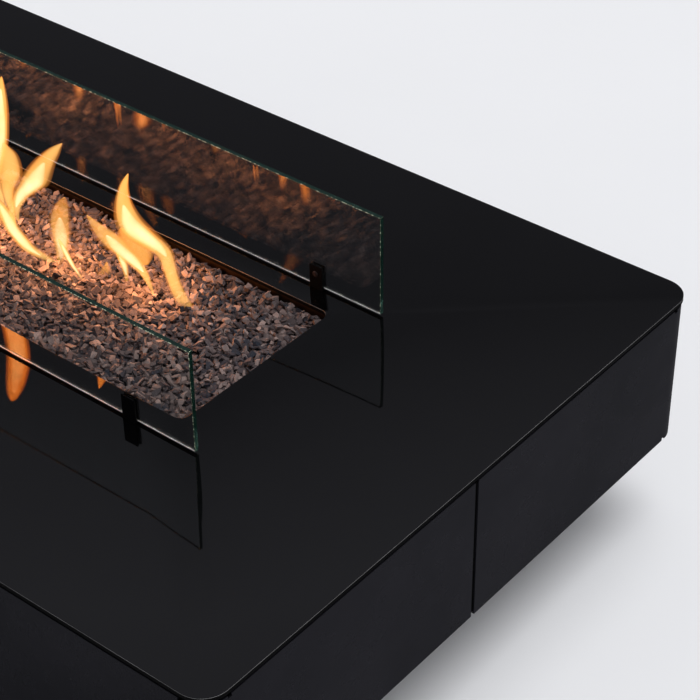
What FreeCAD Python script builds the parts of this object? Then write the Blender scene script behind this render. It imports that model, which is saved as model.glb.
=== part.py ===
import FreeCAD, Part
import math
import os
import random

from FreeCAD import Vector

# Low fire pit table with a glass-shielded gas trough. All sizes are in millimetres.
# The origin is the middle of the footprint on the floor, +X runs along the table and +Z is up.
# Far means +Y and near means -Y, right means +X and left means -X.

X_AXIS = Vector(1, 0, 0)
Y_AXIS = Vector(0, 1, 0)
Z_AXIS = Vector(0, 0, 1)
FLAT_LIMIT = 1e-6

# Table outline and top plate
TABLE_LENGTH = 1500.0
TABLE_WIDTH = 900.0
TABLE_HEIGHT = 340.0
TOP_THICKNESS = 6.0
TOP_CORNER_RADIUS = 34.0
TOP_EDGE_BREAK = 0.8
SHADOW_GAP = 5.0

# Folded side shells, two halves that meet at the middle of each end
SHELL_HEIGHT = 205.0
SHELL_WALL = 2.0
SHELL_INSET = 1.5
FLANGE_WIDTH = 28.0
SEAM_GAP = 6.0
NOTCH_WIDTH = 6.0
NOTCH_DEPTH = 4.0
SEAM_PLATE_WIDTH = 70.0
SEAM_PLATE_THICKNESS = 2.0

# Tube frame, floor pan and plinth
RAIL_SIZE = 30.0
RAIL_WALL = 2.0
RAIL_CLEARANCE = 1.0
PAN_THICKNESS = 1.5
PAN_CLEARANCE = 0.5
VENT_LENGTH = 70.0
VENT_WIDTH = 8.0
VENT_PITCH_X = 160.0
VENT_PITCH_Y = 60.0
VENT_COLUMNS = 4
VENT_ROWS = 3
PLINTH_INSET = 130.0
PLINTH_WALL = 3.0
PLINTH_FLANGE = 30.0
FOOT_HEIGHT = 5.0
FOOT_RADIUS = 14.0
HOSE_NOTCH_WIDTH = 50.0
HOSE_NOTCH_HEIGHT = 40.0

# Trough opening, burner tray and heat shield
TROUGH_LENGTH = 856.0
TROUGH_WIDTH = 263.0
TROUGH_CORNER_RADIUS = 13.0
TRAY_CLEARANCE = 4.0
TRAY_WALL = 2.0
TRAY_DEPTH = 62.0
TRAY_LIP = 20.0
BEARER_GAP = 2.0
SHIELD_DROP = 25.0
SHIELD_THICKNESS = 1.5
SHIELD_INSET = 14.0
SHIELD_SLOT_LENGTH = 50.0
SHIELD_SLOT_WIDTH = 40.0
SHIELD_SLOT_SHIFT = 12.0

# Burner
BURNER_LENGTH = 700.0
BURNER_RADIUS = 11.0
BURNER_WALL = 1.5
BURNER_SPREAD = 90.0
BURNER_LIFT = 12.0
PORT_RADIUS = 1.5
PORT_PITCH = 25.0
SADDLE_LENGTH = 16.0
SADDLE_SIDE = 3.0
SADDLE_SPREAD = 500.0
FEED_RADIUS = 9.0
FEED_BORE = 4.0
FEED_REACH = 30.0
FEED_BEND = 16.0

# Gravel
GRAVEL_CLEARANCE = 1.0
GRAVEL_DEPTH = 44.0
GRAVEL_GAP = 1.0
STONE_PITCH = 20.0
STONE_RADIUS_MIN = 8.0
STONE_RADIUS_MAX = 9.6
STONE_HEIGHT_MIN = 5.0
STONE_HEIGHT_MAX = 8.5
STONE_TAPER = 0.68
STONE_TILT = 20.0
STONE_SIDES = 5
STONE_LIFT = 0.2
STONE_JITTER = 0.18
STONE_LEAN = 1.0
STONE_SEED = 7

# Pilot assembly
PILOT_OFFSET = 80.0
PILOT_Y = 85.0
PILOT_SPACING = 15.0
PILOT_BRACKET_LENGTH = 60.0
PILOT_BRACKET_WIDTH = 24.0
PILOT_BRACKET_WALL = 2.0
PILOT_BRACKET_HEIGHT = 24.0
PILOT_HOOD_RADIUS = 6.0
PILOT_HOOD_HEIGHT = 24.0
PILOT_SLOT_WIDTH = 4.0
PILOT_SLOT_HEIGHT = 9.0
PILOT_TAIL = 8.0
PILOT_POCKET_MARGIN = 6.0
PILOT_TUBE_RADIUS = 2.0
CERAMIC_RADIUS = 4.0
CERAMIC_HEIGHT = 14.0
ELECTRODE_RADIUS = 1.0
ELECTRODE_HEIGHT = 26.0
THERMOCOUPLE_RADIUS = 2.5
THERMOCOUPLE_HEIGHT = 24.0
THERMO_LEAD_RADIUS = 1.5
IGNITER_LEAD_RADIUS = 2.0
LEAD_HOLE_CLEARANCE = 0.5
LEAD_STRAIGHT = 4.0

# Glass panes and their clips
PANE_LENGTH = 962.0
PANE_HEIGHT = 140.0
PANE_THICKNESS = 6.0
PANE_EDGE_BREAK = 0.5
PANE_SPREAD = 334.0
CLIP_INSET = 100.0
CLIP_WIDTH = 20.0
CLIP_HEIGHT = 34.0
CLIP_LEAF = 1.8
CLIP_WEB = 2.4
CLIP_STUD_RADIUS = 2.5
CLIP_STUD_LENGTH = 14.0
PAD_SIDE = 0.75
PAD_BASE = 1.0
PAD_MARGIN = 2.0
CLAMP_DROP = 11.5
CLAMP_SHANK_RADIUS = 2.0
CLAMP_HEAD_RADIUS = 3.8
CLAMP_HEAD_HEIGHT = 2.2
CLAMP_SOCKET_RADIUS = 1.4
CLAMP_SOCKET_DEPTH = 1.2

# Service door in the far long side
DOOR_SHARE_X = 0.24
DOOR_OPENING_LENGTH = 400.0
DOOR_RAIL_MARGIN = 2.5
DOOR_GAP = 3.0
DOOR_WALL = 2.0
DOOR_RETURN = 14.0
FINGER_SLOT_WIDTH = 20.0
FINGER_SLOT_HEIGHT = 60.0
FINGER_SLOT_INSET = 38.0
HINGE_EDGE = 9.0
HINGE_DEPTH = 7.0
HINGE_PIN_RADIUS = 2.5
HINGE_PIN_CLEARANCE = 0.05
HINGE_PIN_REACH = 3.0
HINGE_BUSH_RADIUS = 5.0
HINGE_BUSH_GAP = 0.2
BRACKET_THICKNESS = 2.0
BRACKET_LENGTH = 28.0
BRACKET_LIP = 4.0
STRIKE_LENGTH = 16.0
STRIKE_HEIGHT = 40.0
STRIKE_THICKNESS = 2.0
MAGNET_HEIGHT = 34.0
MAGNET_GAP = 0.5

# Controls behind the service door
PANEL_THICKNESS = 2.0
PANEL_MARGIN = 10.0
PANEL_OVERLAP = 15.0
PANEL_NOTCH_GAP = 1.0
CONTROL_RISE = 108.0
KNOB_OFFSET = 30.0
IGNITER_OFFSET = -60.0
VALVE_SIZE = 36.0
VALVE_DEPTH = 40.0
VALVE_STANDOFF = 8.0
NECK_RADIUS = 8.0
NECK_REACH = 6.0
NUT_THICKNESS = 4.0
VALVE_NUT_FLATS = 24.0
SPINDLE_RADIUS = 3.0
SPINDLE_CLEARANCE = 0.05
SHOULDER_RADIUS = 5.0
SHOULDER_LENGTH = 2.0
COLLAR_RADIUS = 6.5
COLLAR_THICKNESS = 3.0
CAVITY_RADIUS = 7.0
CAVITY_DEPTH = 20.0
CAVITY_SET = 4.0
SPINDLE_TAIL = 5.0
KNOB_TRAVEL = 4.0
KNOB_CLEARANCE = 1.0
KNOB_RADIUS = 18.0
KNOB_LENGTH = 16.0
KNOB_FRONT = 4.0
KNOB_FLUTES = 18
KNOB_FLUTE_RADIUS = 1.6
KNOB_MARK_WIDTH = 2.0
KNOB_MARK_DEPTH = 1.0
KNOB_MARK_LENGTH = 12.5
KNOB_EDGE_BREAK = 1.0
IGNITER_RADIUS = 11.0
IGNITER_DEPTH = 45.0
IGNITER_NECK_RADIUS = 7.0
IGNITER_NECK_REACH = 5.0
IGNITER_NUT_FLATS = 21.0
BUTTON_RADIUS = 5.5
BUTTON_CLEARANCE = 0.05
BUTTON_TRAVEL = 5.0
BUTTON_PROUD = 9.0
BUTTON_LENGTH = 22.0
BUTTON_BREAK = 1.2
BUTTON_BORE_SPARE = 3.0

# Gas inlet and rigid pipes
INLET_SETBACK = 58.0
INLET_RADIUS = 10.5
INLET_PORT_LENGTH = 24.0
INLET_RELIEF_RADIUS = 9.5
INLET_RELIEF_LENGTH = 2.5
INLET_BARREL_RADIUS = 12.0
INLET_CLEARANCE = 0.3
INLET_REACH = 33.0
INLET_RISE = 25.0
INLET_OUTLET_RADIUS = 8.0
INLET_HEX_FLATS = 32.0
INLET_HEX_HEIGHT = 10.0
INLET_NUT_THICKNESS = 6.0
INLET_BORE = 3.2
INLET_PIPE_RADIUS = 4.0
INLET_PIPE_BORE = 3.2
BURNER_PIPE_RADIUS = 5.0
BURNER_PIPE_BORE = 4.0
PIPE_DROP = 10.0
BURNER_PIPE_RUN = 32.0
PILOT_TUBE_RISE = 2.0
THERMO_RISE = 10.0
THERMO_RUN_GAP = 30.0
IGNITER_RISE = 4.0
IGNITER_RUN_GAP = 60.0
PIPE_BEND_SHARE = 0.8
PILOT_PORT_SETBACK = 30.0
BURNER_PORT_SETBACK = 20.0

# Fasteners and spacers
SPACER_LENGTH = 40.0
SPACER_WIDTH = 16.0
SPACER_PITCH = 300.0
SPACER_END_Y = (100.0, 300.0)
SPACER_TRAY_Y = 80.0
SCREW_RADIUS = 2.5
SCREW_CLEARANCE = 0.25
SCREW_HEAD_RADIUS = 5.0
SCREW_HEAD_CLEARANCE = 2.5
SCREW_LENGTH = 14.0
SCREW_LONG_X = (150.0, 450.0)
SCREW_END_Y = 200.0
BOLT_RADIUS = 4.0
BOLT_CLEARANCE = 0.5
BOLT_LENGTH = 16.0
BOLT_HEAD_FLATS = 13.0
BOLT_HEAD_HEIGHT = 5.3
BOLT_Y = (100.0, 220.0)
CLIP_NUT_FLATS = 8.0
CLIP_NUT_HEIGHT = 4.7

# Levels worked out from the sizes above
TOP_UNDERSIDE = TABLE_HEIGHT - TOP_THICKNESS
SHELL_TOP = TOP_UNDERSIDE - SHADOW_GAP
SHELL_BOTTOM = SHELL_TOP - SHELL_HEIGHT
PAN_BOTTOM = SHELL_BOTTOM + SHELL_WALL
PAN_TOP = PAN_BOTTOM + PAN_THICKNESS
LOWER_RAIL_TOP = PAN_TOP + RAIL_SIZE
UPPER_RAIL_TOP = SHELL_TOP - SHELL_WALL
UPPER_RAIL_BOTTOM = UPPER_RAIL_TOP - RAIL_SIZE
TRAY_BOTTOM = TOP_UNDERSIDE - TRAY_DEPTH
TRAY_FLOOR = TRAY_BOTTOM + TRAY_WALL
SHIELD_BOTTOM = TRAY_BOTTOM - SHIELD_DROP
BURNER_Z = TRAY_FLOOR + BURNER_LIFT + BURNER_RADIUS
GRAVEL_TOP = TRAY_FLOOR + GRAVEL_DEPTH
PILOT_SHELF = TRAY_FLOOR + PILOT_BRACKET_HEIGHT
PANE_BOTTOM = TABLE_HEIGHT + CLIP_WEB + PAD_BASE
CONTROL_Z = SHELL_BOTTOM + CONTROL_RISE

# Distances from the middle of the table
TOP_HALF_X = TABLE_LENGTH / 2
TOP_HALF_Y = TABLE_WIDTH / 2
SHELL_HALF_X = TOP_HALF_X - SHELL_INSET
SHELL_HALF_Y = TOP_HALF_Y - SHELL_INSET
SHELL_RADIUS = TOP_CORNER_RADIUS - SHELL_INSET
INNER_HALF_X = SHELL_HALF_X - SHELL_WALL
INNER_HALF_Y = SHELL_HALF_Y - SHELL_WALL
INNER_RADIUS = SHELL_RADIUS - SHELL_WALL
RAIL_SETBACK = INNER_RADIUS * (1 - math.sqrt(0.5)) + RAIL_CLEARANCE
RAIL_OUTER_X = INNER_HALF_X - RAIL_SETBACK
RAIL_OUTER_Y = INNER_HALF_Y - RAIL_SETBACK
RAIL_INNER_X = RAIL_OUTER_X - RAIL_SIZE
RAIL_INNER_Y = RAIL_OUTER_Y - RAIL_SIZE
PLINTH_HALF_X = TOP_HALF_X - PLINTH_INSET
PLINTH_HALF_Y = TOP_HALF_Y - PLINTH_INSET
TRAY_INNER_X = TROUGH_LENGTH / 2 + TRAY_CLEARANCE
TRAY_INNER_Y = TROUGH_WIDTH / 2 + TRAY_CLEARANCE
TRAY_INNER_RADIUS = TROUGH_CORNER_RADIUS + TRAY_CLEARANCE
TRAY_OUTER_X = TRAY_INNER_X + TRAY_WALL
TRAY_OUTER_Y = TRAY_INNER_Y + TRAY_WALL
BEARER_INNER_X = TRAY_OUTER_X + BEARER_GAP
CLIP_X = PANE_LENGTH / 2 - CLIP_INSET
CLIP_Y = PANE_SPREAD / 2
CLIP_SLOT_HALF = PANE_THICKNESS / 2 + PAD_SIDE
FLANGE_MID_X = INNER_HALF_X - RAIL_SETBACK / 2 - FLANGE_WIDTH / 2
FLANGE_MID_Y = INNER_HALF_Y - RAIL_SETBACK / 2 - FLANGE_WIDTH / 2

# Door opening and control positions
DOOR_CENTRE_X = -DOOR_SHARE_X * TABLE_LENGTH
OPENING_X0 = DOOR_CENTRE_X - DOOR_OPENING_LENGTH / 2
OPENING_X1 = DOOR_CENTRE_X + DOOR_OPENING_LENGTH / 2
OPENING_Z0 = LOWER_RAIL_TOP + DOOR_RAIL_MARGIN
OPENING_Z1 = UPPER_RAIL_BOTTOM - DOOR_RAIL_MARGIN
DOOR_X0 = OPENING_X0 + DOOR_GAP
DOOR_X1 = OPENING_X1 - DOOR_GAP
DOOR_Z0 = OPENING_Z0 + DOOR_GAP
DOOR_Z1 = OPENING_Z1 - DOOR_GAP
DOOR_BACK_Y = SHELL_HALF_Y - DOOR_RETURN
DOOR_MID_Z = (DOOR_Z0 + DOOR_Z1) / 2
HINGE_X = DOOR_X0 + HINGE_EDGE
HINGE_Y = SHELL_HALF_Y - HINGE_DEPTH
PANEL_FRONT_Y = RAIL_INNER_Y
PANEL_BACK_Y = PANEL_FRONT_Y - PANEL_THICKNESS
KNOB_X = DOOR_CENTRE_X + KNOB_OFFSET
IGNITER_X = DOOR_CENTRE_X + IGNITER_OFFSET
PILOT_X = KNOB_X + PILOT_OFFSET
INLET_Y = PLINTH_HALF_Y - INLET_SETBACK
VALVE_FRONT_Y = PANEL_BACK_Y - VALVE_STANDOFF
VALVE_BACK_Y = VALVE_FRONT_Y - VALVE_DEPTH
NECK_END_Y = PANEL_FRONT_Y + NECK_REACH
KNOB_BACK_Y = NECK_END_Y + KNOB_TRAVEL + KNOB_CLEARANCE
SHOULDER_FRONT_Y = VALVE_FRONT_Y - CAVITY_SET
COLLAR_FRONT_Y = SHOULDER_FRONT_Y - SHOULDER_LENGTH
PIPE_Z = CONTROL_Z - PIPE_DROP


def box(x0, x1, y0, y1, z0, z1):
    """Box between two corners given as ranges along each axis."""
    return Part.makeBox(x1 - x0, y1 - y0, z1 - z0, Vector(x0, y0, z0))


def cylinder(start, axis, radius, length):
    """Cylinder that begins at start and runs along axis."""
    return Part.makeCylinder(radius, length, start, axis)


def fuse_all(shapes):
    """One solid from shapes that touch or overlap."""
    whole = shapes[0]
    for shape in shapes[1:]:
        whole = whole.fuse(shape)
    return whole.removeSplitter()


def rounded_prism(half_x, half_y, radius, z0, z1):
    """Upright prism on a rounded rectangle that is centred on the origin."""
    corner_x = half_x - radius
    corner_y = half_y - radius
    slope = radius * math.sqrt(0.5)
    edges = []
    corners = ((1, -1), (1, 1), (-1, 1), (-1, -1))
    for index, (sx, sy) in enumerate(corners):
        side_point = Vector(sx * half_x, sy * corner_y, z0)
        end_point = Vector(sx * corner_x, sy * half_y, z0)
        middle = Vector(sx * (corner_x + slope), sy * (corner_y + slope), z0)
        ends = (end_point, side_point) if sx == -sy else (side_point, end_point)
        next_sx, next_sy = corners[(index + 1) % 4]
        if sx == next_sx:
            next_start = Vector(next_sx * half_x, next_sy * corner_y, z0)
        else:
            next_start = Vector(next_sx * corner_x, next_sy * half_y, z0)
        edges.append(Part.Arc(ends[0], middle, ends[1]).toShape())
        edges.append(Part.makeLine(ends[1], next_start))
    face = Part.Face(Part.Wire(edges))
    return face.extrude(Vector(0, 0, z1 - z0))


def square_tube(start, axis, length):
    """Frame tube that begins at start, its lowest corner, and runs along +X, +Y or +Z."""
    wall = RAIL_WALL
    outer = [RAIL_SIZE, RAIL_SIZE, RAIL_SIZE]
    inner = [RAIL_SIZE - 2 * wall, RAIL_SIZE - 2 * wall, RAIL_SIZE - 2 * wall]
    shift = [wall, wall, wall]
    run = (axis.x, axis.y, axis.z).index(1)
    outer[run] = length
    inner[run] = length
    shift[run] = 0
    hollow = Part.makeBox(inner[0], inner[1], inner[2], start + Vector(*shift))
    return Part.makeBox(outer[0], outer[1], outer[2], start).cut(hollow)


def round_slot(centre, axis, run, width, length, depth):
    """Round-ended slot that begins at centre, goes along axis and is long along run."""
    radius = width / 2
    reach = run * (length / 2 - radius)
    across = axis.cross(run) * radius
    corners = (centre - reach - across, centre + reach + across + axis * depth)
    xs, ys, zs = (sorted(pair) for pair in zip(*corners))
    pieces = [box(*xs, *ys, *zs)]
    for end in (centre - reach, centre + reach):
        pieces.append(cylinder(end, axis, radius, depth))
    return fuse_all(pieces)


def hexagon(centre, axis, flats, height):
    """Hexagonal prism that begins at centre and runs along axis, flats apart across its sides."""
    radius = flats / math.sqrt(3)
    turn = FreeCAD.Rotation(Z_AXIS, axis)
    points = []
    for index in range(7):
        angle = math.radians(60 * index)
        corner = Vector(radius * math.cos(angle), radius * math.sin(angle), 0)
        points.append(centre + turn.multVec(corner))
    return Part.Face(Part.makePolygon(points)).extrude(axis * height)


def drill(shape, centres, radius, z0, z1):
    """Shape with upright round holes at the given X and Y places."""
    for x, y in centres:
        shape = shape.cut(cylinder(Vector(x, y, z0), Z_AXIS, radius, z1 - z0))
    return shape


def route(points, bend):
    """Wire of straight runs joined by tangent arcs of one bend radius."""
    edges = []
    start = points[0]
    for before, corner, after in zip(points, points[1:], points[2:]):
        into = (corner - before).normalize()
        out = (after - corner).normalize()
        half_turn = into.getAngle(out) / 2
        setback = bend * math.tan(half_turn)
        arc_start = corner - into * setback
        arc_end = corner + out * setback
        bulge = (out - into).normalize() * (bend / math.cos(half_turn) - bend)
        edges.append(Part.makeLine(start, arc_start))
        edges.append(Part.Arc(arc_start, corner + bulge, arc_end).toShape())
        start = arc_end
    edges.append(Part.makeLine(start, points[-1]))
    return Part.Wire(edges)


def rod(points, bend, radius):
    """Round bar that follows a bent route."""
    path = route(points, bend)
    first_run = (points[1] - points[0]).normalize()
    circle = Part.Wire(Part.makeCircle(radius, points[0], first_run))
    return path.makePipeShell([circle], True, False)


def pipe(points, bend, radius, bore):
    """Round tube that follows a bent route."""
    return rod(points, bend, radius).cut(rod(points, bend, bore))


def export(name, shapes):
    """Write one node as a STEP file."""
    whole = shapes[0] if len(shapes) == 1 else Part.makeCompound(shapes)
    whole.exportStep(os.path.join("parts", name + ".step"))


def mirrored_pairs(x, y):
    """The four places at plus and minus x and y."""
    return [(sx * x, sy * y) for sx in (-1, 1) for sy in (-1, 1)]


def spacer_places():
    """Middle of each spacer on the shell flanges, with its sizes along X and Y."""
    places = []
    steps = int(TOP_HALF_X / SPACER_PITCH)
    for step in range(-steps, steps + 1):
        for side in (-1, 1):
            places.append((step * SPACER_PITCH, side * FLANGE_MID_Y, SPACER_LENGTH, SPACER_WIDTH))
    for y in SPACER_END_Y:
        for x_place, y_place in mirrored_pairs(FLANGE_MID_X, y):
            places.append((x_place, y_place, SPACER_WIDTH, SPACER_LENGTH))
    return places


def flange_screw_places():
    """Middle of each screw that ties a shell flange to a rail."""
    places = []
    for x in SCREW_LONG_X:
        places += mirrored_pairs(x, FLANGE_MID_Y)
    return places + mirrored_pairs(FLANGE_MID_X, SCREW_END_Y)


def plinth_bolt_places():
    """Middle of each bolt that ties the plinth to a floor bearer."""
    places = []
    for y in BOLT_Y:
        places += mirrored_pairs(PLINTH_HALF_X - PLINTH_FLANGE / 2, y)
    return places


def clip_places():
    """Middle of each glass clip on the top plate."""
    return mirrored_pairs(CLIP_X, CLIP_Y)


def pilot_lead_places():
    """X of the pilot tube, the thermocouple and the spark electrode, with each hole radius."""
    return (
        (PILOT_X, PILOT_TUBE_RADIUS + LEAD_HOLE_CLEARANCE),
        (PILOT_X + PILOT_SPACING, THERMO_LEAD_RADIUS + LEAD_HOLE_CLEARANCE),
        (PILOT_X - PILOT_SPACING, IGNITER_LEAD_RADIUS + LEAD_HOLE_CLEARANCE),
    )


def drill_lead_holes(shape, z0, z1):
    """Shape with the holes that the three pilot leads pass through."""
    for x, radius in pilot_lead_places():
        shape = drill(shape, [(x, PILOT_Y)], radius, z0, z1)
    return shape


def make_top_plate():
    """Gloss top with the trough opening, broken edges and a hole for each clip stud."""
    plate = rounded_prism(TOP_HALF_X, TOP_HALF_Y, TOP_CORNER_RADIUS, TOP_UNDERSIDE, TABLE_HEIGHT)
    opening = rounded_prism(
        TROUGH_LENGTH / 2, TROUGH_WIDTH / 2, TROUGH_CORNER_RADIUS, TOP_UNDERSIDE, TABLE_HEIGHT
    )
    plate = plate.cut(opening)
    upper = [
        edge
        for edge in plate.Edges
        if TABLE_HEIGHT - edge.BoundBox.ZMin < FLAT_LIMIT
    ]
    plate = plate.makeFillet(TOP_EDGE_BREAK, upper)
    hole = CLIP_STUD_RADIUS + SCREW_CLEARANCE
    return drill(plate, clip_places(), hole, TOP_UNDERSIDE, TABLE_HEIGHT)


def shell_flanges(z0):
    """Inward flanges of the far shell half, which stop short of the round corners."""
    z1 = z0 + SHELL_WALL
    long_end = SHELL_HALF_X - SHELL_RADIUS - NOTCH_WIDTH
    short_end = SHELL_HALF_Y - SHELL_RADIUS - NOTCH_WIDTH
    flanges = [box(-long_end, long_end, INNER_HALF_Y - FLANGE_WIDTH, SHELL_HALF_Y, z0, z1)]
    for side in (-1, 1):
        inner = side * (INNER_HALF_X - FLANGE_WIDTH)
        outer = side * SHELL_HALF_X
        x0, x1 = sorted((inner, outer))
        flanges.append(box(x0, x1, SEAM_GAP / 2, short_end, z0, z1))
    return flanges


def shell_notches():
    """Relief cuts in the wall edges, where each flange stops at a round corner."""
    notches = []
    x_start = SHELL_HALF_X - SHELL_RADIUS
    y_start = SHELL_HALF_Y - SHELL_RADIUS
    for z0 in (SHELL_BOTTOM, SHELL_TOP - NOTCH_DEPTH):
        z1 = z0 + NOTCH_DEPTH
        for side in (-1, 1):
            x0, x1 = sorted((side * (x_start - NOTCH_WIDTH), side * x_start))
            notches.append(box(x0, x1, INNER_HALF_Y - SHELL_WALL, SHELL_HALF_Y, z0, z1))
            x0, x1 = sorted((side * (INNER_HALF_X - SHELL_WALL), side * SHELL_HALF_X))
            notches.append(box(x0, x1, y_start - NOTCH_WIDTH, y_start, z0, z1))
    return notches


def make_shell_half():
    """Far half of the side shell, folded from one sheet, with its screw holes."""
    outer = rounded_prism(SHELL_HALF_X, SHELL_HALF_Y, SHELL_RADIUS, SHELL_BOTTOM, SHELL_TOP)
    inner = rounded_prism(INNER_HALF_X, INNER_HALF_Y, INNER_RADIUS, SHELL_BOTTOM, SHELL_TOP)
    keep = box(-TOP_HALF_X, TOP_HALF_X, SEAM_GAP / 2, TOP_HALF_Y, SHELL_BOTTOM, SHELL_TOP)
    wall = outer.cut(inner).common(keep)
    half = fuse_all([wall] + shell_flanges(SHELL_TOP - SHELL_WALL) + shell_flanges(SHELL_BOTTOM))
    for notch in shell_notches():
        half = half.cut(notch)
    places = [place for place in flange_screw_places() if place[1] > 0]
    return drill(half, places, SCREW_RADIUS + SCREW_CLEARANCE, UPPER_RAIL_TOP, SHELL_TOP)


def make_shells():
    """Both shell halves. The far one has the service door opening."""
    far = make_shell_half()
    near = far.mirror(Vector(0, 0, 0), Y_AXIS)
    opening = box(OPENING_X0, OPENING_X1, INNER_HALF_Y, SHELL_HALF_Y, OPENING_Z0, OPENING_Z1)
    return near, far.cut(opening)


def make_seam_plates():
    """Backing plates behind the two end seams."""
    plates = []
    for side in (-1, 1):
        x0, x1 = sorted((side * (INNER_HALF_X - SEAM_PLATE_THICKNESS), side * INNER_HALF_X))
        half = SEAM_PLATE_WIDTH / 2
        plates.append(box(x0, x1, -half, half, PAN_TOP, UPPER_RAIL_TOP))
    return plates


def make_long_rail(side, z0):
    """Frame tube along one long side."""
    y0 = min(side * RAIL_OUTER_Y, side * RAIL_INNER_Y)
    return square_tube(Vector(-RAIL_OUTER_X, y0, z0), X_AXIS, 2 * RAIL_OUTER_X)


def make_cross_tube(x0, z0):
    """Frame tube across the table, between the long rails."""
    return square_tube(Vector(x0, -RAIL_INNER_Y, z0), Y_AXIS, 2 * RAIL_INNER_Y)


def make_end_rails(z0):
    """The two frame tubes at the table's ends."""
    return [make_cross_tube(-RAIL_OUTER_X, z0), make_cross_tube(RAIL_INNER_X, z0)]


def drill_for_screws(rail):
    """Upper rail with the flange screw holes in its top wall."""
    z0 = UPPER_RAIL_TOP - RAIL_WALL
    return drill(rail, flange_screw_places(), SCREW_RADIUS + SCREW_CLEARANCE, z0, UPPER_RAIL_TOP)


def make_corner_posts():
    """Four posts between the lower and the upper rails."""
    height = UPPER_RAIL_BOTTOM - LOWER_RAIL_TOP
    posts = []
    for x0 in (-RAIL_OUTER_X, RAIL_INNER_X):
        for y0 in (-RAIL_OUTER_Y, RAIL_INNER_Y):
            posts.append(square_tube(Vector(x0, y0, LOWER_RAIL_TOP), Z_AXIS, height))
    return posts


def make_floor_bearers():
    """Tubes across the floor pan, above the ends of the plinth."""
    bearers = []
    for x0 in (-PLINTH_HALF_X, PLINTH_HALF_X - RAIL_SIZE):
        tube = make_cross_tube(x0, PAN_TOP)
        hole = BOLT_RADIUS + BOLT_CLEARANCE
        bearers.append(drill(tube, plinth_bolt_places(), hole, PAN_TOP, PAN_TOP + RAIL_WALL))
    return bearers


def make_floor_pan():
    """Sheet that closes the body from below, with air vents, bolt holes and the gas hole."""
    half_x = INNER_HALF_X - PAN_CLEARANCE
    half_y = INNER_HALF_Y - PAN_CLEARANCE
    pan = rounded_prism(half_x, half_y, INNER_RADIUS - PAN_CLEARANCE, PAN_BOTTOM, PAN_TOP)
    for column in range(VENT_COLUMNS):
        x = (column - (VENT_COLUMNS - 1) / 2) * VENT_PITCH_X
        for row in range(VENT_ROWS):
            y = (row - (VENT_ROWS - 1) / 2) * VENT_PITCH_Y
            start = Vector(x, y, PAN_BOTTOM)
            slot = round_slot(start, Z_AXIS, X_AXIS, VENT_WIDTH, VENT_LENGTH, PAN_THICKNESS)
            pan = pan.cut(slot)
    pan = drill(pan, plinth_bolt_places(), BOLT_RADIUS + BOLT_CLEARANCE, PAN_BOTTOM, PAN_TOP)
    return drill(pan, [(KNOB_X, INLET_Y)], INLET_BARREL_RADIUS + INLET_CLEARANCE, PAN_BOTTOM, PAN_TOP)


def plinth_channel(length, flange_length):
    """Channel along X with its web's outer face on the plane Y = 0 and its flanges towards -Y."""
    wall = PLINTH_WALL
    half = length / 2
    web = box(-half, half, -wall, 0, FOOT_HEIGHT, PAN_BOTTOM)
    pieces = [web]
    for z0 in (FOOT_HEIGHT, PAN_BOTTOM - wall):
        reach = flange_length / 2
        pieces.append(box(-reach, reach, -PLINTH_FLANGE, -wall, z0, z0 + wall))
    return fuse_all(pieces)


def make_plinth_long_panels():
    """Near and far panels of the recessed plinth. The far one is notched for the gas hose."""
    channel = plinth_channel(2 * PLINTH_HALF_X, 2 * (PLINTH_HALF_X - PLINTH_WALL))
    far = channel.translated(Vector(0, PLINTH_HALF_Y, 0))
    near = far.mirror(Vector(0, 0, 0), Y_AXIS)
    x0 = KNOB_X - HOSE_NOTCH_WIDTH / 2
    x1 = x0 + HOSE_NOTCH_WIDTH
    y0 = PLINTH_HALF_Y - PLINTH_FLANGE
    notch_top = FOOT_HEIGHT + HOSE_NOTCH_HEIGHT
    return [near, far.cut(box(x0, x1, y0, PLINTH_HALF_Y, FOOT_HEIGHT, notch_top))]


def make_plinth_end_panels():
    """Left and right panels of the plinth, between the long panels."""
    web_length = 2 * (PLINTH_HALF_Y - PLINTH_WALL)
    flange_length = 2 * (PLINTH_HALF_Y - PLINTH_FLANGE)
    channel = plinth_channel(web_length, flange_length)
    channel.rotate(Vector(0, 0, 0), Z_AXIS, -90)
    right = channel.translated(Vector(PLINTH_HALF_X, 0, 0))
    hole = BOLT_RADIUS + BOLT_CLEARANCE
    right = drill(right, plinth_bolt_places(), hole, PAN_BOTTOM - PLINTH_WALL, PAN_BOTTOM)
    return [right.mirror(Vector(0, 0, 0), X_AXIS), right]


def make_foot_pads():
    """Round pads under the plinth, three on each long panel."""
    y = PLINTH_HALF_Y - PLINTH_FLANGE / 2
    x = PLINTH_HALF_X - PLINTH_FLANGE / 2
    places = mirrored_pairs(x, y) + [(0, -y), (0, y)]
    return [cylinder(Vector(px, py, 0), Z_AXIS, FOOT_RADIUS, FOOT_HEIGHT) for px, py in places]


def make_plinth_bolts():
    """Hexagon bolts up through the plinth flange, the floor pan and the bearer wall."""
    z0 = PAN_BOTTOM - PLINTH_WALL
    bolts = []
    for x, y in plinth_bolt_places():
        shank = cylinder(Vector(x, y, z0), Z_AXIS, BOLT_RADIUS, BOLT_LENGTH)
        head = hexagon(Vector(x, y, z0 - BOLT_HEAD_HEIGHT), Z_AXIS, BOLT_HEAD_FLATS, BOLT_HEAD_HEIGHT)
        bolts.append(fuse_all([head, shank]))
    return bolts


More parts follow.
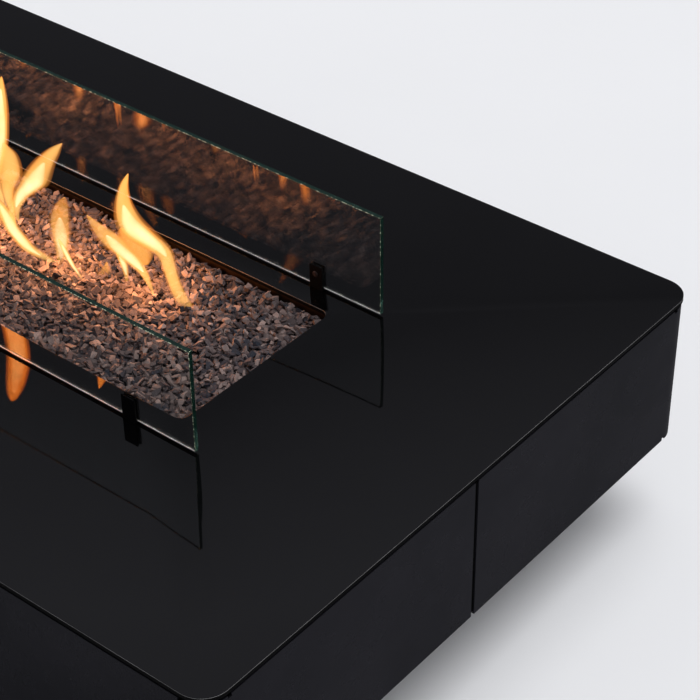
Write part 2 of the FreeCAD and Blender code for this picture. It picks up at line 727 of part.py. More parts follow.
def make_top_spacers():
    """Blocks that hold the top plate above the flanges, and the tray lip above the bearers."""
    blocks = []
    for x, y, size_x, size_y in spacer_places():
        half_x = size_x / 2
        half_y = size_y / 2
        blocks.append(box(x - half_x, x + half_x, y - half_y, y + half_y, SHELL_TOP, TOP_UNDERSIDE))
    x0 = BEARER_INNER_X
    x1 = TRAY_OUTER_X + TRAY_LIP
    half = SPACER_LENGTH / 2
    for side in (-1, 1):
        for y in (-SPACER_TRAY_Y, SPACER_TRAY_Y):
            left, right = sorted((side * x0, side * x1))
            lip_bottom = TOP_UNDERSIDE - TRAY_WALL
            blocks.append(box(left, right, y - half, y + half, UPPER_RAIL_TOP, lip_bottom))
    return blocks


def make_flange_screws():
    """Screws that tie the shell flanges to the upper rails."""
    screws = []
    head_height = SHADOW_GAP - SCREW_HEAD_CLEARANCE
    for x, y in flange_screw_places():
        head = cylinder(Vector(x, y, SHELL_TOP), Z_AXIS, SCREW_HEAD_RADIUS, head_height)
        shank = cylinder(Vector(x, y, SHELL_TOP - SCREW_LENGTH), Z_AXIS, SCREW_RADIUS, SCREW_LENGTH)
        screws.append(fuse_all([head, shank]))
    return screws


def make_burner_tray():
    """Open tray that hangs under the trough opening by its lip."""
    outer = rounded_prism(
        TRAY_OUTER_X, TRAY_OUTER_Y, TRAY_INNER_RADIUS + TRAY_WALL, TRAY_BOTTOM, TOP_UNDERSIDE
    )
    lip = rounded_prism(
        TRAY_OUTER_X + TRAY_LIP,
        TRAY_OUTER_Y + TRAY_LIP,
        TRAY_INNER_RADIUS + TRAY_WALL + TRAY_LIP,
        TOP_UNDERSIDE - TRAY_WALL,
        TOP_UNDERSIDE,
    )
    hollow = rounded_prism(TRAY_INNER_X, TRAY_INNER_Y, TRAY_INNER_RADIUS, TRAY_FLOOR, TOP_UNDERSIDE)
    tray = fuse_all([outer, lip]).cut(hollow)
    tray = drill(tray, [(0, 0)], FEED_RADIUS + LEAD_HOLE_CLEARANCE, TRAY_BOTTOM, TRAY_FLOOR)
    return drill_lead_holes(tray, TRAY_BOTTOM, TRAY_FLOOR)


def make_heat_shield():
    """Folded sheet under the tray, held by its upturned ends, with a slot for the pilot leads."""
    half_x = TRAY_INNER_X - SHIELD_INSET
    half_y = TRAY_INNER_Y
    top = SHIELD_BOTTOM + SHIELD_THICKNESS
    sheet = box(-half_x, half_x, -half_y, half_y, SHIELD_BOTTOM, top)
    pieces = [sheet]
    for side in (-1, 1):
        x0, x1 = sorted((side * (half_x - SHIELD_THICKNESS), side * half_x))
        pieces.append(box(x0, x1, -half_y, half_y, top, TRAY_BOTTOM))
    shield = fuse_all(pieces)
    shield = drill(shield, [(0, 0)], FEED_RADIUS + FEED_BORE, SHIELD_BOTTOM, top)
    reach_x = SHIELD_SLOT_LENGTH / 2
    y0 = PILOT_Y + SHIELD_SLOT_SHIFT - SHIELD_SLOT_WIDTH / 2
    y1 = y0 + SHIELD_SLOT_WIDTH
    return shield.cut(box(PILOT_X - reach_x, PILOT_X + reach_x, y0, y1, SHIELD_BOTTOM, top))


def burner_bar(side, radius, length):
    """Round bar along one burner tube's axis."""
    start = Vector(-length / 2, side * BURNER_SPREAD / 2, BURNER_Z)
    return cylinder(start, X_AXIS, radius, length)


def make_burner_tube(side):
    """Closed burner tube with a row of gas ports along its top."""
    bore = BURNER_RADIUS - BURNER_WALL
    tube = burner_bar(side, BURNER_RADIUS, BURNER_LENGTH)
    tube = tube.cut(burner_bar(side, bore, BURNER_LENGTH - 2 * BURNER_WALL))
    y = side * BURNER_SPREAD / 2
    ports = int((BURNER_LENGTH / 2 - PORT_PITCH) / PORT_PITCH)
    places = [(step * PORT_PITCH, y) for step in range(-ports, ports + 1)]
    tube = drill(tube, places, PORT_RADIUS, BURNER_Z, BURNER_Z + BURNER_RADIUS)
    feed = cylinder(Vector(0, -BURNER_SPREAD / 2, BURNER_Z), Y_AXIS, FEED_BORE, BURNER_SPREAD)
    return tube.cut(feed)


def make_burner_crossover():
    """Short pipe between the two burner tubes, fed from below."""
    start = Vector(0, -BURNER_SPREAD / 2, BURNER_Z)
    body = cylinder(start, Y_AXIS, FEED_RADIUS, BURNER_SPREAD)
    body = body.cut(cylinder(start, Y_AXIS, FEED_BORE, BURNER_SPREAD))
    for side in (-1, 1):
        body = body.cut(burner_bar(side, BURNER_RADIUS, BURNER_LENGTH))
    drop = FEED_RADIUS + FEED_BORE
    return body.cut(cylinder(Vector(0, 0, BURNER_Z - drop), Z_AXIS, FEED_BORE, drop))


def feed_route():
    """Route of the feed elbow, from the burner pipe up to the crossover."""
    return [Vector(-FEED_REACH, 0, PIPE_Z), Vector(0, 0, PIPE_Z), Vector(0, 0, BURNER_Z)]


def make_feed_elbow():
    """Bent feed tube that rises through the shield and the tray floor."""
    elbow = pipe(feed_route(), FEED_BEND, FEED_RADIUS, FEED_BORE)
    start = Vector(0, -BURNER_SPREAD / 2, BURNER_Z)
    return elbow.cut(cylinder(start, Y_AXIS, FEED_RADIUS, BURNER_SPREAD))


def saddle_places():
    """X and Y of the four cradles under the burner tubes."""
    return mirrored_pairs(SADDLE_SPREAD / 2, BURNER_SPREAD / 2)


def make_burner_saddles():
    """Cradles that carry the burner tubes above the tray floor."""
    saddles = []
    half_x = SADDLE_LENGTH / 2
    half_y = BURNER_RADIUS + SADDLE_SIDE
    for x, y in saddle_places():
        block = box(x - half_x, x + half_x, y - half_y, y + half_y, TRAY_FLOOR, BURNER_Z)
        saddles.append(block.cut(burner_bar(math.copysign(1, y), BURNER_RADIUS, BURNER_LENGTH)))
    return saddles


def pilot_pocket():
    """Space in the gravel that the pilot assembly stands in."""
    margin = PILOT_POCKET_MARGIN
    half_x = PILOT_BRACKET_LENGTH / 2 + margin
    half_y = PILOT_BRACKET_WIDTH / 2 + margin
    return (PILOT_X - half_x, PILOT_X + half_x, PILOT_Y - half_y, PILOT_Y + half_y)


def make_gravel_bed():
    """Body of lava gravel around the burner, up to the layer of loose stones."""
    bed = rounded_prism(
        TRAY_INNER_X - GRAVEL_CLEARANCE,
        TRAY_INNER_Y - GRAVEL_CLEARANCE,
        TRAY_INNER_RADIUS - GRAVEL_CLEARANCE,
        TRAY_FLOOR,
        GRAVEL_TOP,
    )
    gap = GRAVEL_GAP
    length = BURNER_LENGTH + 2 * gap
    for side in (-1, 1):
        bed = bed.cut(burner_bar(side, BURNER_RADIUS + gap, length))
    for x, y in saddle_places():
        half_x = SADDLE_LENGTH / 2 + gap
        half_y = BURNER_RADIUS + SADDLE_SIDE + gap
        bed = bed.cut(box(x - half_x, x + half_x, y - half_y, y + half_y, TRAY_FLOOR, BURNER_Z + gap))
    start = Vector(0, -BURNER_SPREAD / 2, BURNER_Z)
    bed = bed.cut(cylinder(start, Y_AXIS, FEED_RADIUS + gap, BURNER_SPREAD))
    bed = drill(bed, [(0, 0)], FEED_RADIUS + gap, TRAY_FLOOR, BURNER_Z)
    x0, x1, y0, y1 = pilot_pocket()
    return bed.cut(box(x0, x1, y0, y1, TRAY_FLOOR, GRAVEL_TOP))


def make_stone(draw, x, y):
    """One angular chip: a tapered five-sided block, tipped and set down on the bed."""
    height = draw.uniform(STONE_HEIGHT_MIN, STONE_HEIGHT_MAX)
    start = draw.uniform(0, 360 / STONE_SIDES)
    ring = []
    for index in range(STONE_SIDES):
        step = index + draw.uniform(-STONE_JITTER, STONE_JITTER)
        angle = math.radians(start + 360 * step / STONE_SIDES)
        radius = draw.uniform(STONE_RADIUS_MIN, STONE_RADIUS_MAX)
        ring.append(Vector(radius * math.cos(angle), radius * math.sin(angle), 0))
    lean_x = draw.uniform(-STONE_LEAN, STONE_LEAN)
    lean_y = draw.uniform(-STONE_LEAN, STONE_LEAN)
    shift = Vector(lean_x, lean_y, height)
    crown = [point * STONE_TAPER + shift for point in ring]
    low = Part.makePolygon(ring + ring[:1])
    high = Part.makePolygon(crown + crown[:1])
    stone = Part.makeLoft([low, high], True, True)
    tip_axis = Vector(math.cos(math.radians(start)), math.sin(math.radians(start)), 0)
    stone.rotate(Vector(0, 0, 0), tip_axis, draw.uniform(-STONE_TILT, STONE_TILT))
    lift = GRAVEL_TOP + STONE_LIFT - stone.BoundBox.ZMin
    return stone.translated(Vector(x, y, lift))


def make_lava_stones():
    """Loose top layer of chips on staggered columns, nudged at random, clear of the pilot."""
    draw = random.Random(STONE_SEED)
    reach = STONE_RADIUS_MAX
    half_x = TROUGH_LENGTH / 2 - reach
    half_y = TROUGH_WIDTH / 2 - reach
    columns = int(2 * half_x / STONE_PITCH) + 1
    rows = int(2 * half_y / STONE_PITCH)
    x0, x1, y0, y1 = pilot_pocket()
    nudge = max(STONE_PITCH / 2 - STONE_RADIUS_MAX, 0)
    stones = []
    for column in range(columns):
        stagger = STONE_PITCH / 4 if column % 2 else -STONE_PITCH / 4
        for row in range(rows):
            x = (column - (columns - 1) / 2) * STONE_PITCH + draw.uniform(-nudge, nudge)
            y = (row - (rows - 1) / 2) * STONE_PITCH + stagger + draw.uniform(-nudge, nudge)
            stone = make_stone(draw, x, y)
            in_pocket = x0 - reach < x < x1 + reach and y0 - reach < y < y1 + reach
            if not in_pocket:
                stones.append(stone)
    return stones


def make_pilot_bracket():
    """Folded bracket on the tray floor whose shelf holds the three pilot pieces."""
    wall = PILOT_BRACKET_WALL
    x0 = PILOT_X - PILOT_BRACKET_LENGTH / 2
    x1 = PILOT_X + PILOT_BRACKET_LENGTH / 2
    y0 = PILOT_Y - PILOT_BRACKET_WIDTH / 2
    y1 = PILOT_Y + PILOT_BRACKET_WIDTH / 2
    base = box(x0, x1, y0, y1, TRAY_FLOOR, TRAY_FLOOR + wall)
    side = box(x0, x0 + wall, y0, y1, TRAY_FLOOR, PILOT_SHELF)
    shelf = box(x0, x1, y0, y1, PILOT_SHELF - wall, PILOT_SHELF)
    bracket = fuse_all([base, side, shelf])
    bracket = drill_lead_holes(bracket, TRAY_FLOOR, TRAY_FLOOR + wall)
    z0 = PILOT_SHELF - wall
    bracket = drill(bracket, [(PILOT_X, PILOT_Y)], PILOT_TUBE_RADIUS, z0, PILOT_SHELF)
    bracket = drill(
        bracket, [(PILOT_X + PILOT_SPACING, PILOT_Y)], THERMOCOUPLE_RADIUS, z0, PILOT_SHELF
    )
    return drill(bracket, [(PILOT_X - PILOT_SPACING, PILOT_Y)], IGNITER_LEAD_RADIUS, z0, PILOT_SHELF)


def make_pilot_burner():
    """Hooded pilot jet with a flame slot on each side."""
    foot = Vector(PILOT_X, PILOT_Y, PILOT_SHELF)
    hood = cylinder(foot, Z_AXIS, PILOT_HOOD_RADIUS, PILOT_HOOD_HEIGHT)
    slot_top = PILOT_SHELF + PILOT_HOOD_HEIGHT - PILOT_SLOT_WIDTH
    reach = 2 * PILOT_HOOD_RADIUS
    half = PILOT_SLOT_WIDTH / 2
    slot = box(
        PILOT_X - reach,
        PILOT_X + reach,
        PILOT_Y - half,
        PILOT_Y + half,
        slot_top - PILOT_SLOT_HEIGHT,
        slot_top,
    )
    tail_start = Vector(PILOT_X, PILOT_Y, PILOT_SHELF - PILOT_TAIL)
    tail = cylinder(tail_start, Z_AXIS, PILOT_TUBE_RADIUS, PILOT_TAIL)
    return fuse_all([hood.cut(slot), tail])


def make_spark_electrode():
    """Ceramic insulator with its wire tip and lower terminal."""
    x = PILOT_X - PILOT_SPACING
    foot = Vector(x, PILOT_Y, PILOT_SHELF)
    ceramic = cylinder(foot, Z_AXIS, CERAMIC_RADIUS, CERAMIC_HEIGHT)
    wire = cylinder(foot, Z_AXIS, ELECTRODE_RADIUS, ELECTRODE_HEIGHT)
    tail_start = Vector(x, PILOT_Y, PILOT_SHELF - PILOT_TAIL)
    tail = cylinder(tail_start, Z_AXIS, IGNITER_LEAD_RADIUS, PILOT_TAIL)
    return fuse_all([ceramic, wire, tail])


def lead_bend(z):
    """Bend radius of a lead that comes straight down through the tray and turns level at z."""
    return TRAY_BOTTOM - LEAD_STRAIGHT - z


def make_thermocouple():
    """Thermocouple tip beside the pilot, with its lead back to the valve."""
    x = PILOT_X + PILOT_SPACING
    bottom = PILOT_SHELF - PILOT_TAIL
    tip = cylinder(
        Vector(x, PILOT_Y, bottom), Z_AXIS, THERMOCOUPLE_RADIUS, PILOT_TAIL + THERMOCOUPLE_HEIGHT
    )
    z = CONTROL_Z + THERMO_RISE
    run_y = VALVE_BACK_Y - THERMO_RUN_GAP
    points = [
        Vector(x, PILOT_Y, bottom),
        Vector(x, PILOT_Y, z),
        Vector(x, run_y, z),
        Vector(KNOB_X, run_y, z),
        Vector(KNOB_X, VALVE_BACK_Y, z),
    ]
    return fuse_all([tip, rod(points, lead_bend(z), THERMO_LEAD_RADIUS)])


def make_pilot_tube():
    """Thin gas tube from the valve to the pilot."""
    z = CONTROL_Z + PILOT_TUBE_RISE
    valve_side = KNOB_X + VALVE_SIZE / 2
    y = VALVE_FRONT_Y - PILOT_PORT_SETBACK
    points = [
        Vector(PILOT_X, PILOT_Y, PILOT_SHELF - PILOT_TAIL),
        Vector(PILOT_X, PILOT_Y, z),
        Vector(PILOT_X, y, z),
        Vector(valve_side, y, z),
    ]
    return rod(points, lead_bend(z), PILOT_TUBE_RADIUS)


def make_igniter_lead():
    """High-tension lead from the igniter to the spark electrode."""
    x = PILOT_X - PILOT_SPACING
    z = CONTROL_Z + IGNITER_RISE
    igniter_back = PANEL_BACK_Y - IGNITER_DEPTH
    run_y = igniter_back - IGNITER_RUN_GAP
    points = [
        Vector(x, PILOT_Y, PILOT_SHELF - PILOT_TAIL),
        Vector(x, PILOT_Y, z),
        Vector(x, run_y, z),
        Vector(IGNITER_X, run_y, z),
        Vector(IGNITER_X, igniter_back, z),
    ]
    return rod(points, lead_bend(z), IGNITER_LEAD_RADIUS)


def make_gas_inlet():
    """Bulkhead fitting through the floor pan, its threaded end pointing down."""
    foot = Vector(KNOB_X, INLET_Y, PAN_BOTTOM - INLET_REACH)
    port = cylinder(foot, Z_AXIS, INLET_RADIUS, INLET_PORT_LENGTH)
    relief_foot = foot + Z_AXIS * INLET_PORT_LENGTH
    relief = cylinder(relief_foot, Z_AXIS, INLET_RELIEF_RADIUS, INLET_RELIEF_LENGTH)
    barrel_foot = relief_foot + Z_AXIS * INLET_RELIEF_LENGTH
    collar_foot = Vector(KNOB_X, INLET_Y, PAN_TOP)
    barrel = cylinder(barrel_foot, Z_AXIS, INLET_BARREL_RADIUS, PAN_TOP - barrel_foot.z)
    collar = hexagon(collar_foot, Z_AXIS, INLET_HEX_FLATS, INLET_HEX_HEIGHT)
    outlet = cylinder(collar_foot, Z_AXIS, INLET_OUTLET_RADIUS, INLET_RISE)
    length = PAN_TOP + INLET_RISE - foot.z
    return fuse_all([port, relief, barrel, collar, outlet]).cut(cylinder(foot, Z_AXIS, INLET_BORE, length))


def make_inlet_pipe():
    """Pipe from the inlet fitting up to the back of the valve."""
    points = [
        Vector(KNOB_X, INLET_Y, PAN_TOP + INLET_RISE),
        Vector(KNOB_X, INLET_Y, PIPE_Z),
        Vector(KNOB_X, VALVE_BACK_Y, PIPE_Z),
    ]
    shortest_run = min(PIPE_Z - PAN_TOP - INLET_RISE, VALVE_BACK_Y - INLET_Y)
    bend = PIPE_BEND_SHARE * shortest_run
    return pipe(points, bend, INLET_PIPE_RADIUS, INLET_PIPE_BORE)


def make_burner_pipe():
    """Pipe from the valve's side to the burner's feed elbow."""
    valve_side = KNOB_X + VALVE_SIZE / 2
    y = VALVE_FRONT_Y - BURNER_PORT_SETBACK
    run_x = valve_side + BURNER_PIPE_RUN
    points = [
        Vector(valve_side, y, PIPE_Z),
        Vector(run_x, y, PIPE_Z),
        Vector(run_x, 0, PIPE_Z),
        Vector(-FEED_REACH, 0, PIPE_Z),
    ]
    bend = PIPE_BEND_SHARE * BURNER_PIPE_RUN
    return pipe(points, bend, BURNER_PIPE_RADIUS, BURNER_PIPE_BORE)


def make_gas_valve():
    """Valve block with a threaded neck, a spindle bore and a chamber for the return collar."""
    half = VALVE_SIZE / 2
    block = box(
        KNOB_X - half, KNOB_X + half, VALVE_BACK_Y, VALVE_FRONT_Y, CONTROL_Z - half, CONTROL_Z + half
    )
    front = Vector(KNOB_X, VALVE_FRONT_Y, CONTROL_Z)
    neck = cylinder(front, Y_AXIS, NECK_RADIUS, NECK_END_Y - VALVE_FRONT_Y)
    valve = fuse_all([block, neck])
    chamber_start = Vector(KNOB_X, SHOULDER_FRONT_Y - CAVITY_DEPTH, CONTROL_Z)
    valve = valve.cut(cylinder(chamber_start, Y_AXIS, CAVITY_RADIUS, CAVITY_DEPTH))
    bore_start = Vector(KNOB_X, SHOULDER_FRONT_Y, CONTROL_Z)
    bore_length = NECK_END_Y - SHOULDER_FRONT_Y
    return valve.cut(cylinder(bore_start, Y_AXIS, SPINDLE_RADIUS + SPINDLE_CLEARANCE, bore_length))


def make_spindle_collar():
    """Non-turning ring that carries the spindle's push back to its spring."""
    start = Vector(KNOB_X, COLLAR_FRONT_Y - COLLAR_THICKNESS, CONTROL_Z)
    ring = cylinder(start, Y_AXIS, COLLAR_RADIUS, COLLAR_THICKNESS)
    return ring.cut(cylinder(start, Y_AXIS, SPINDLE_RADIUS + SPINDLE_CLEARANCE, COLLAR_THICKNESS))


def make_valve_spindle():
    """Spindle that the knob turns and pushes, with a shoulder behind the neck."""
    y0 = COLLAR_FRONT_Y - COLLAR_THICKNESS - SPINDLE_TAIL
    y1 = KNOB_BACK_Y + KNOB_LENGTH - KNOB_FRONT
    shaft = cylinder(Vector(KNOB_X, y0, CONTROL_Z), Y_AXIS, SPINDLE_RADIUS, y1 - y0)
    start = Vector(KNOB_X, COLLAR_FRONT_Y, CONTROL_Z)
    return fuse_all([shaft, cylinder(start, Y_AXIS, SHOULDER_RADIUS, SHOULDER_LENGTH)])


def make_control_knob():
    """Fluted knob with a pointer groove, open at the back for the spindle."""
    back = Vector(KNOB_X, KNOB_BACK_Y, CONTROL_Z)
    knob = cylinder(back, Y_AXIS, KNOB_RADIUS, KNOB_LENGTH)
    rims = [edge for edge in knob.Edges if edge.BoundBox.YLength < FLAT_LIMIT]
    knob = knob.makeChamfer(KNOB_EDGE_BREAK, rims)
    for index in range(KNOB_FLUTES):
        angle = math.radians((index + 0.5) * 360 / KNOB_FLUTES)
        reach = Vector(KNOB_RADIUS * math.cos(angle), 0, KNOB_RADIUS * math.sin(angle))
        knob = knob.cut(cylinder(back + reach, Y_AXIS, KNOB_FLUTE_RADIUS, KNOB_LENGTH))
    front_y = KNOB_BACK_Y + KNOB_LENGTH
    half = KNOB_MARK_WIDTH / 2
    mark = box(
        KNOB_X - half,
        KNOB_X + half,
        front_y - KNOB_MARK_DEPTH,
        front_y,
        CONTROL_Z + KNOB_RADIUS - KNOB_MARK_LENGTH,
        CONTROL_Z + KNOB_RADIUS,
    )
    socket = cylinder(back, Y_AXIS, SPINDLE_RADIUS, KNOB_LENGTH - KNOB_FRONT)
    return knob.cut(mark).cut(socket)


def make_igniter_body():
    """Igniter case behind the panel, with its neck and the bore for the button."""
    start = Vector(IGNITER_X, PANEL_BACK_Y - IGNITER_DEPTH, CONTROL_Z)
    case = cylinder(start, Y_AXIS, IGNITER_RADIUS, IGNITER_DEPTH)
    neck_end = PANEL_FRONT_Y + IGNITER_NECK_REACH
    neck_start = Vector(IGNITER_X, PANEL_BACK_Y, CONTROL_Z)
    neck = cylinder(neck_start, Y_AXIS, IGNITER_NECK_RADIUS, neck_end - PANEL_BACK_Y)
    bore_y = PANEL_FRONT_Y + BUTTON_PROUD - BUTTON_LENGTH - BUTTON_TRAVEL - BUTTON_BORE_SPARE
    bore_start = Vector(IGNITER_X, bore_y, CONTROL_Z)
    bore = cylinder(bore_start, Y_AXIS, BUTTON_RADIUS + BUTTON_CLEARANCE, neck_end - bore_y)
    return fuse_all([case, neck]).cut(bore)


def make_igniter_button():
    """Push button with a softened front edge."""
    start = Vector(IGNITER_X, PANEL_FRONT_Y + BUTTON_PROUD - BUTTON_LENGTH, CONTROL_Z)
    button = cylinder(start, Y_AXIS, BUTTON_RADIUS, BUTTON_LENGTH)
    front = [edge for edge in button.Edges if edge.BoundBox.YMin > start.y + BUTTON_LENGTH / 2]
    return button.makeFillet(BUTTON_BREAK, front)


def panel_nut(x, y, flats, bore):
    """Thin nut against the panel's front face."""
    centre = Vector(x, y, CONTROL_Z)
    nut = hexagon(centre, Y_AXIS, flats, NUT_THICKNESS)
    return nut.cut(cylinder(centre, Y_AXIS, bore, NUT_THICKNESS))


def make_bulkhead_nuts():
    """Nuts that hold the valve, the igniter and the gas inlet in their sheets."""
    valve_nut = panel_nut(KNOB_X, PANEL_FRONT_Y, VALVE_NUT_FLATS, NECK_RADIUS)
    igniter_nut = panel_nut(IGNITER_X, PANEL_FRONT_Y, IGNITER_NUT_FLATS, IGNITER_NECK_RADIUS)
    foot = Vector(KNOB_X, INLET_Y, PAN_BOTTOM - INLET_NUT_THICKNESS)
    inlet_nut = hexagon(foot, Z_AXIS, INLET_HEX_FLATS, INLET_NUT_THICKNESS)
    inlet_nut = inlet_nut.cut(cylinder(foot, Z_AXIS, INLET_BARREL_RADIUS, INLET_NUT_THICKNESS))
    return [valve_nut, igniter_nut, inlet_nut]


def make_control_panel():
    """Plate inside the far rails that carries the valve and the igniter, notched for a bearer."""
    panel = box(
        OPENING_X0 - PANEL_MARGIN,
        OPENING_X1 + PANEL_MARGIN,
        PANEL_BACK_Y,
        PANEL_FRONT_Y,
        LOWER_RAIL_TOP - PANEL_OVERLAP,
        UPPER_RAIL_BOTTOM + PANEL_OVERLAP,
    )
    gap = PANEL_NOTCH_GAP
    notch_x0 = -BEARER_INNER_X - RAIL_SIZE - gap
    notch_x1 = -BEARER_INNER_X + gap
    notch_z0 = UPPER_RAIL_BOTTOM - gap
    notch = box(notch_x0, notch_x1, PANEL_BACK_Y, PANEL_FRONT_Y, notch_z0, UPPER_RAIL_TOP)
    panel = panel.cut(notch)
    start = Vector(KNOB_X, PANEL_BACK_Y, CONTROL_Z)
    panel = panel.cut(cylinder(start, Y_AXIS, NECK_RADIUS, PANEL_THICKNESS))
    start = Vector(IGNITER_X, PANEL_BACK_Y, CONTROL_Z)
    return panel.cut(cylinder(start, Y_AXIS, IGNITER_NECK_RADIUS, PANEL_THICKNESS))


def make_service_door():
    """Door tray with four folded returns, a finger slot and bush holes for the pivots."""
    outer = box(DOOR_X0, DOOR_X1, DOOR_BACK_Y, SHELL_HALF_Y, DOOR_Z0, DOOR_Z1)
    wall = DOOR_WALL
    hollow = box(
        DOOR_X0 + wall, DOOR_X1 - wall, DOOR_BACK_Y, SHELL_HALF_Y - wall, DOOR_Z0 + wall, DOOR_Z1 - wall
    )
    door = drill(outer.cut(hollow), [(HINGE_X, HINGE_Y)], HINGE_BUSH_RADIUS, DOOR_Z0, DOOR_Z1)
    centre = Vector(DOOR_X1 - FINGER_SLOT_INSET, SHELL_HALF_Y - wall, DOOR_MID_Z)
    return door.cut(
        round_slot(centre, Y_AXIS, Z_AXIS, FINGER_SLOT_WIDTH, FINGER_SLOT_HEIGHT, wall)
    )


def make_hinge_brackets():
    """Plates on the rails that hold the door's two pivot pins."""
    x0 = HINGE_X - BRACKET_LENGTH / 2
    x1 = HINGE_X + BRACKET_LENGTH / 2
    y1 = HINGE_Y + BRACKET_LIP
    brackets = []
    for z0 in (LOWER_RAIL_TOP, UPPER_RAIL_BOTTOM - BRACKET_THICKNESS):
        z1 = z0 + BRACKET_THICKNESS
        plate = box(x0, x1, RAIL_INNER_Y, y1, z0, z1)
        brackets.append(drill(plate, [(HINGE_X, HINGE_Y)], HINGE_PIN_RADIUS, z0, z1))
    return brackets


def make_hinge_pins():
    """Lower and upper pivot pins of the door."""
    lower_length = DOOR_Z0 + DOOR_WALL + HINGE_PIN_REACH - LOWER_RAIL_TOP
    lower = cylinder(Vector(HINGE_X, HINGE_Y, LOWER_RAIL_TOP), Z_AXIS, HINGE_PIN_RADIUS, lower_length)
    upper_start = DOOR_Z1 - DOOR_WALL - HINGE_PIN_REACH
    upper_length = UPPER_RAIL_BOTTOM - upper_start
    upper = cylinder(Vector(HINGE_X, HINGE_Y, upper_start), Z_AXIS, HINGE_PIN_RADIUS, upper_length)
    return [lower, upper]


def make_hinge_bushes():
    """Plain bushes pressed into the door's folds, which turn on the pins."""
    bore = HINGE_PIN_RADIUS + HINGE_PIN_CLEARANCE
    lower_z0 = LOWER_RAIL_TOP + BRACKET_THICKNESS + HINGE_BUSH_GAP
    upper_z1 = UPPER_RAIL_BOTTOM - BRACKET_THICKNESS - HINGE_BUSH_GAP
    bushes = []
    for z0, z1 in ((lower_z0, DOOR_Z0 + DOOR_WALL), (DOOR_Z1 - DOOR_WALL, upper_z1)):
        start = Vector(HINGE_X, HINGE_Y, z0)
        ring = cylinder(start, Z_AXIS, HINGE_BUSH_RADIUS, z1 - z0)
        bushes.append(ring.cut(cylinder(start, Z_AXIS, bore, z1 - z0)))
    return bushes


def make_door_strike():
    """Steel angle inside the door's free edge that meets the magnet."""
    x1 = DOOR_X1 - DOOR_WALL
    z0 = DOOR_MID_Z - STRIKE_HEIGHT / 2
    z1 = DOOR_MID_Z + STRIKE_HEIGHT / 2
    y1 = SHELL_HALF_Y - DOOR_WALL
    leg = box(x1 - STRIKE_THICKNESS, x1, DOOR_BACK_Y, y1, z0, z1)
    face = box(x1 - STRIKE_LENGTH, x1, DOOR_BACK_Y, DOOR_BACK_Y + STRIKE_THICKNESS, z0, z1)
    return fuse_all([leg, face])


def make_door_magnet():
    """Magnet block on the control panel that holds the door shut."""
    x1 = DOOR_X1 - DOOR_WALL
    half = MAGNET_HEIGHT / 2
    front = DOOR_BACK_Y - MAGNET_GAP
    return box(x1 - STRIKE_LENGTH, x1, PANEL_FRONT_Y, front, DOOR_MID_Z - half, DOOR_MID_Z + half)


def make_glass_pane():
    """Clear pane standing on the far clips' pads, with broken edges."""
    half_x = PANE_LENGTH / 2
    half_y = PANE_THICKNESS / 2
    pane = box(-half_x, half_x, CLIP_Y - half_y, CLIP_Y + half_y, PANE_BOTTOM, PANE_BOTTOM + PANE_HEIGHT)
    return pane.makeChamfer(PANE_EDGE_BREAK, pane.Edges)


def clamp_z():
    """Height of the clamp screws."""
    return TABLE_HEIGHT + CLIP_HEIGHT - CLAMP_DROP


def clamp_cylinder(x, y0, radius, length):
    """Cylinder across a far clip at the clamp screw's height."""
    return cylinder(Vector(x, y0, clamp_z()), Y_AXIS, radius, length)


def make_clip(x):
    """Folded clip on the far side, with its threaded stud and clamp screw hole."""
    half_x = CLIP_WIDTH / 2
    outer = CLIP_SLOT_HALF + CLIP_LEAF
    top = TABLE_HEIGHT + CLIP_HEIGHT
    block = box(x - half_x, x + half_x, CLIP_Y - outer, CLIP_Y + outer, TABLE_HEIGHT, top)
    slot = box(
        x - half_x,
        x + half_x,
        CLIP_Y - CLIP_SLOT_HALF,
        CLIP_Y + CLIP_SLOT_HALF,
        TABLE_HEIGHT + CLIP_WEB,
        top,
    )
    start = Vector(x, CLIP_Y, TABLE_HEIGHT - CLIP_STUD_LENGTH)
    stud = cylinder(start, Z_AXIS, CLIP_STUD_RADIUS, CLIP_STUD_LENGTH)
    clip = fuse_all([block.cut(slot), stud])
    return clip.cut(clamp_cylinder(x, CLIP_Y - outer, CLAMP_SHANK_RADIUS, CLIP_LEAF))


def make_clip_pad(x):
    """Soft liner between a far clip and its pane."""
    half_x = CLIP_WIDTH / 2
    z0 = TABLE_HEIGHT + CLIP_WEB
    z1 = TABLE_HEIGHT + CLIP_HEIGHT - PAD_MARGIN
    outer = CLIP_SLOT_HALF
    inner = PANE_THICKNESS / 2
    block = box(x - half_x, x + half_x, CLIP_Y - outer, CLIP_Y + outer, z0, z1)
    return block.cut(box(x - half_x, x + half_x, CLIP_Y - inner, CLIP_Y + inner, z0 + PAD_BASE, z1))


def make_clamp_screw(x):
    """Button-head screw through a far clip's fire-side leaf."""
    face = CLIP_Y - CLIP_SLOT_HALF - CLIP_LEAF
    shank = clamp_cylinder(x, face, CLAMP_SHANK_RADIUS, CLIP_LEAF)
    head = clamp_cylinder(x, face - CLAMP_HEAD_HEIGHT, CLAMP_HEAD_RADIUS, CLAMP_HEAD_HEIGHT)
    front = [edge for edge in head.Edges if edge.BoundBox.YMax < face - CLAMP_HEAD_HEIGHT / 2]
    head = head.makeFillet(CLAMP_HEAD_HEIGHT / 2, front)
    socket = clamp_cylinder(x, face - CLAMP_HEAD_HEIGHT, CLAMP_SOCKET_RADIUS, CLAMP_SOCKET_DEPTH)
    return fuse_all([head, shank]).cut(socket)


def make_clip_nut(x):
    """Nut on a clip stud, under the top plate."""
    z0 = TOP_UNDERSIDE - CLIP_NUT_HEIGHT
    nut = hexagon(Vector(x, CLIP_Y, z0), Z_AXIS, CLIP_NUT_FLATS, CLIP_NUT_HEIGHT)
    return drill(nut, [(x, CLIP_Y)], CLIP_STUD_RADIUS, z0, TOP_UNDERSIDE)


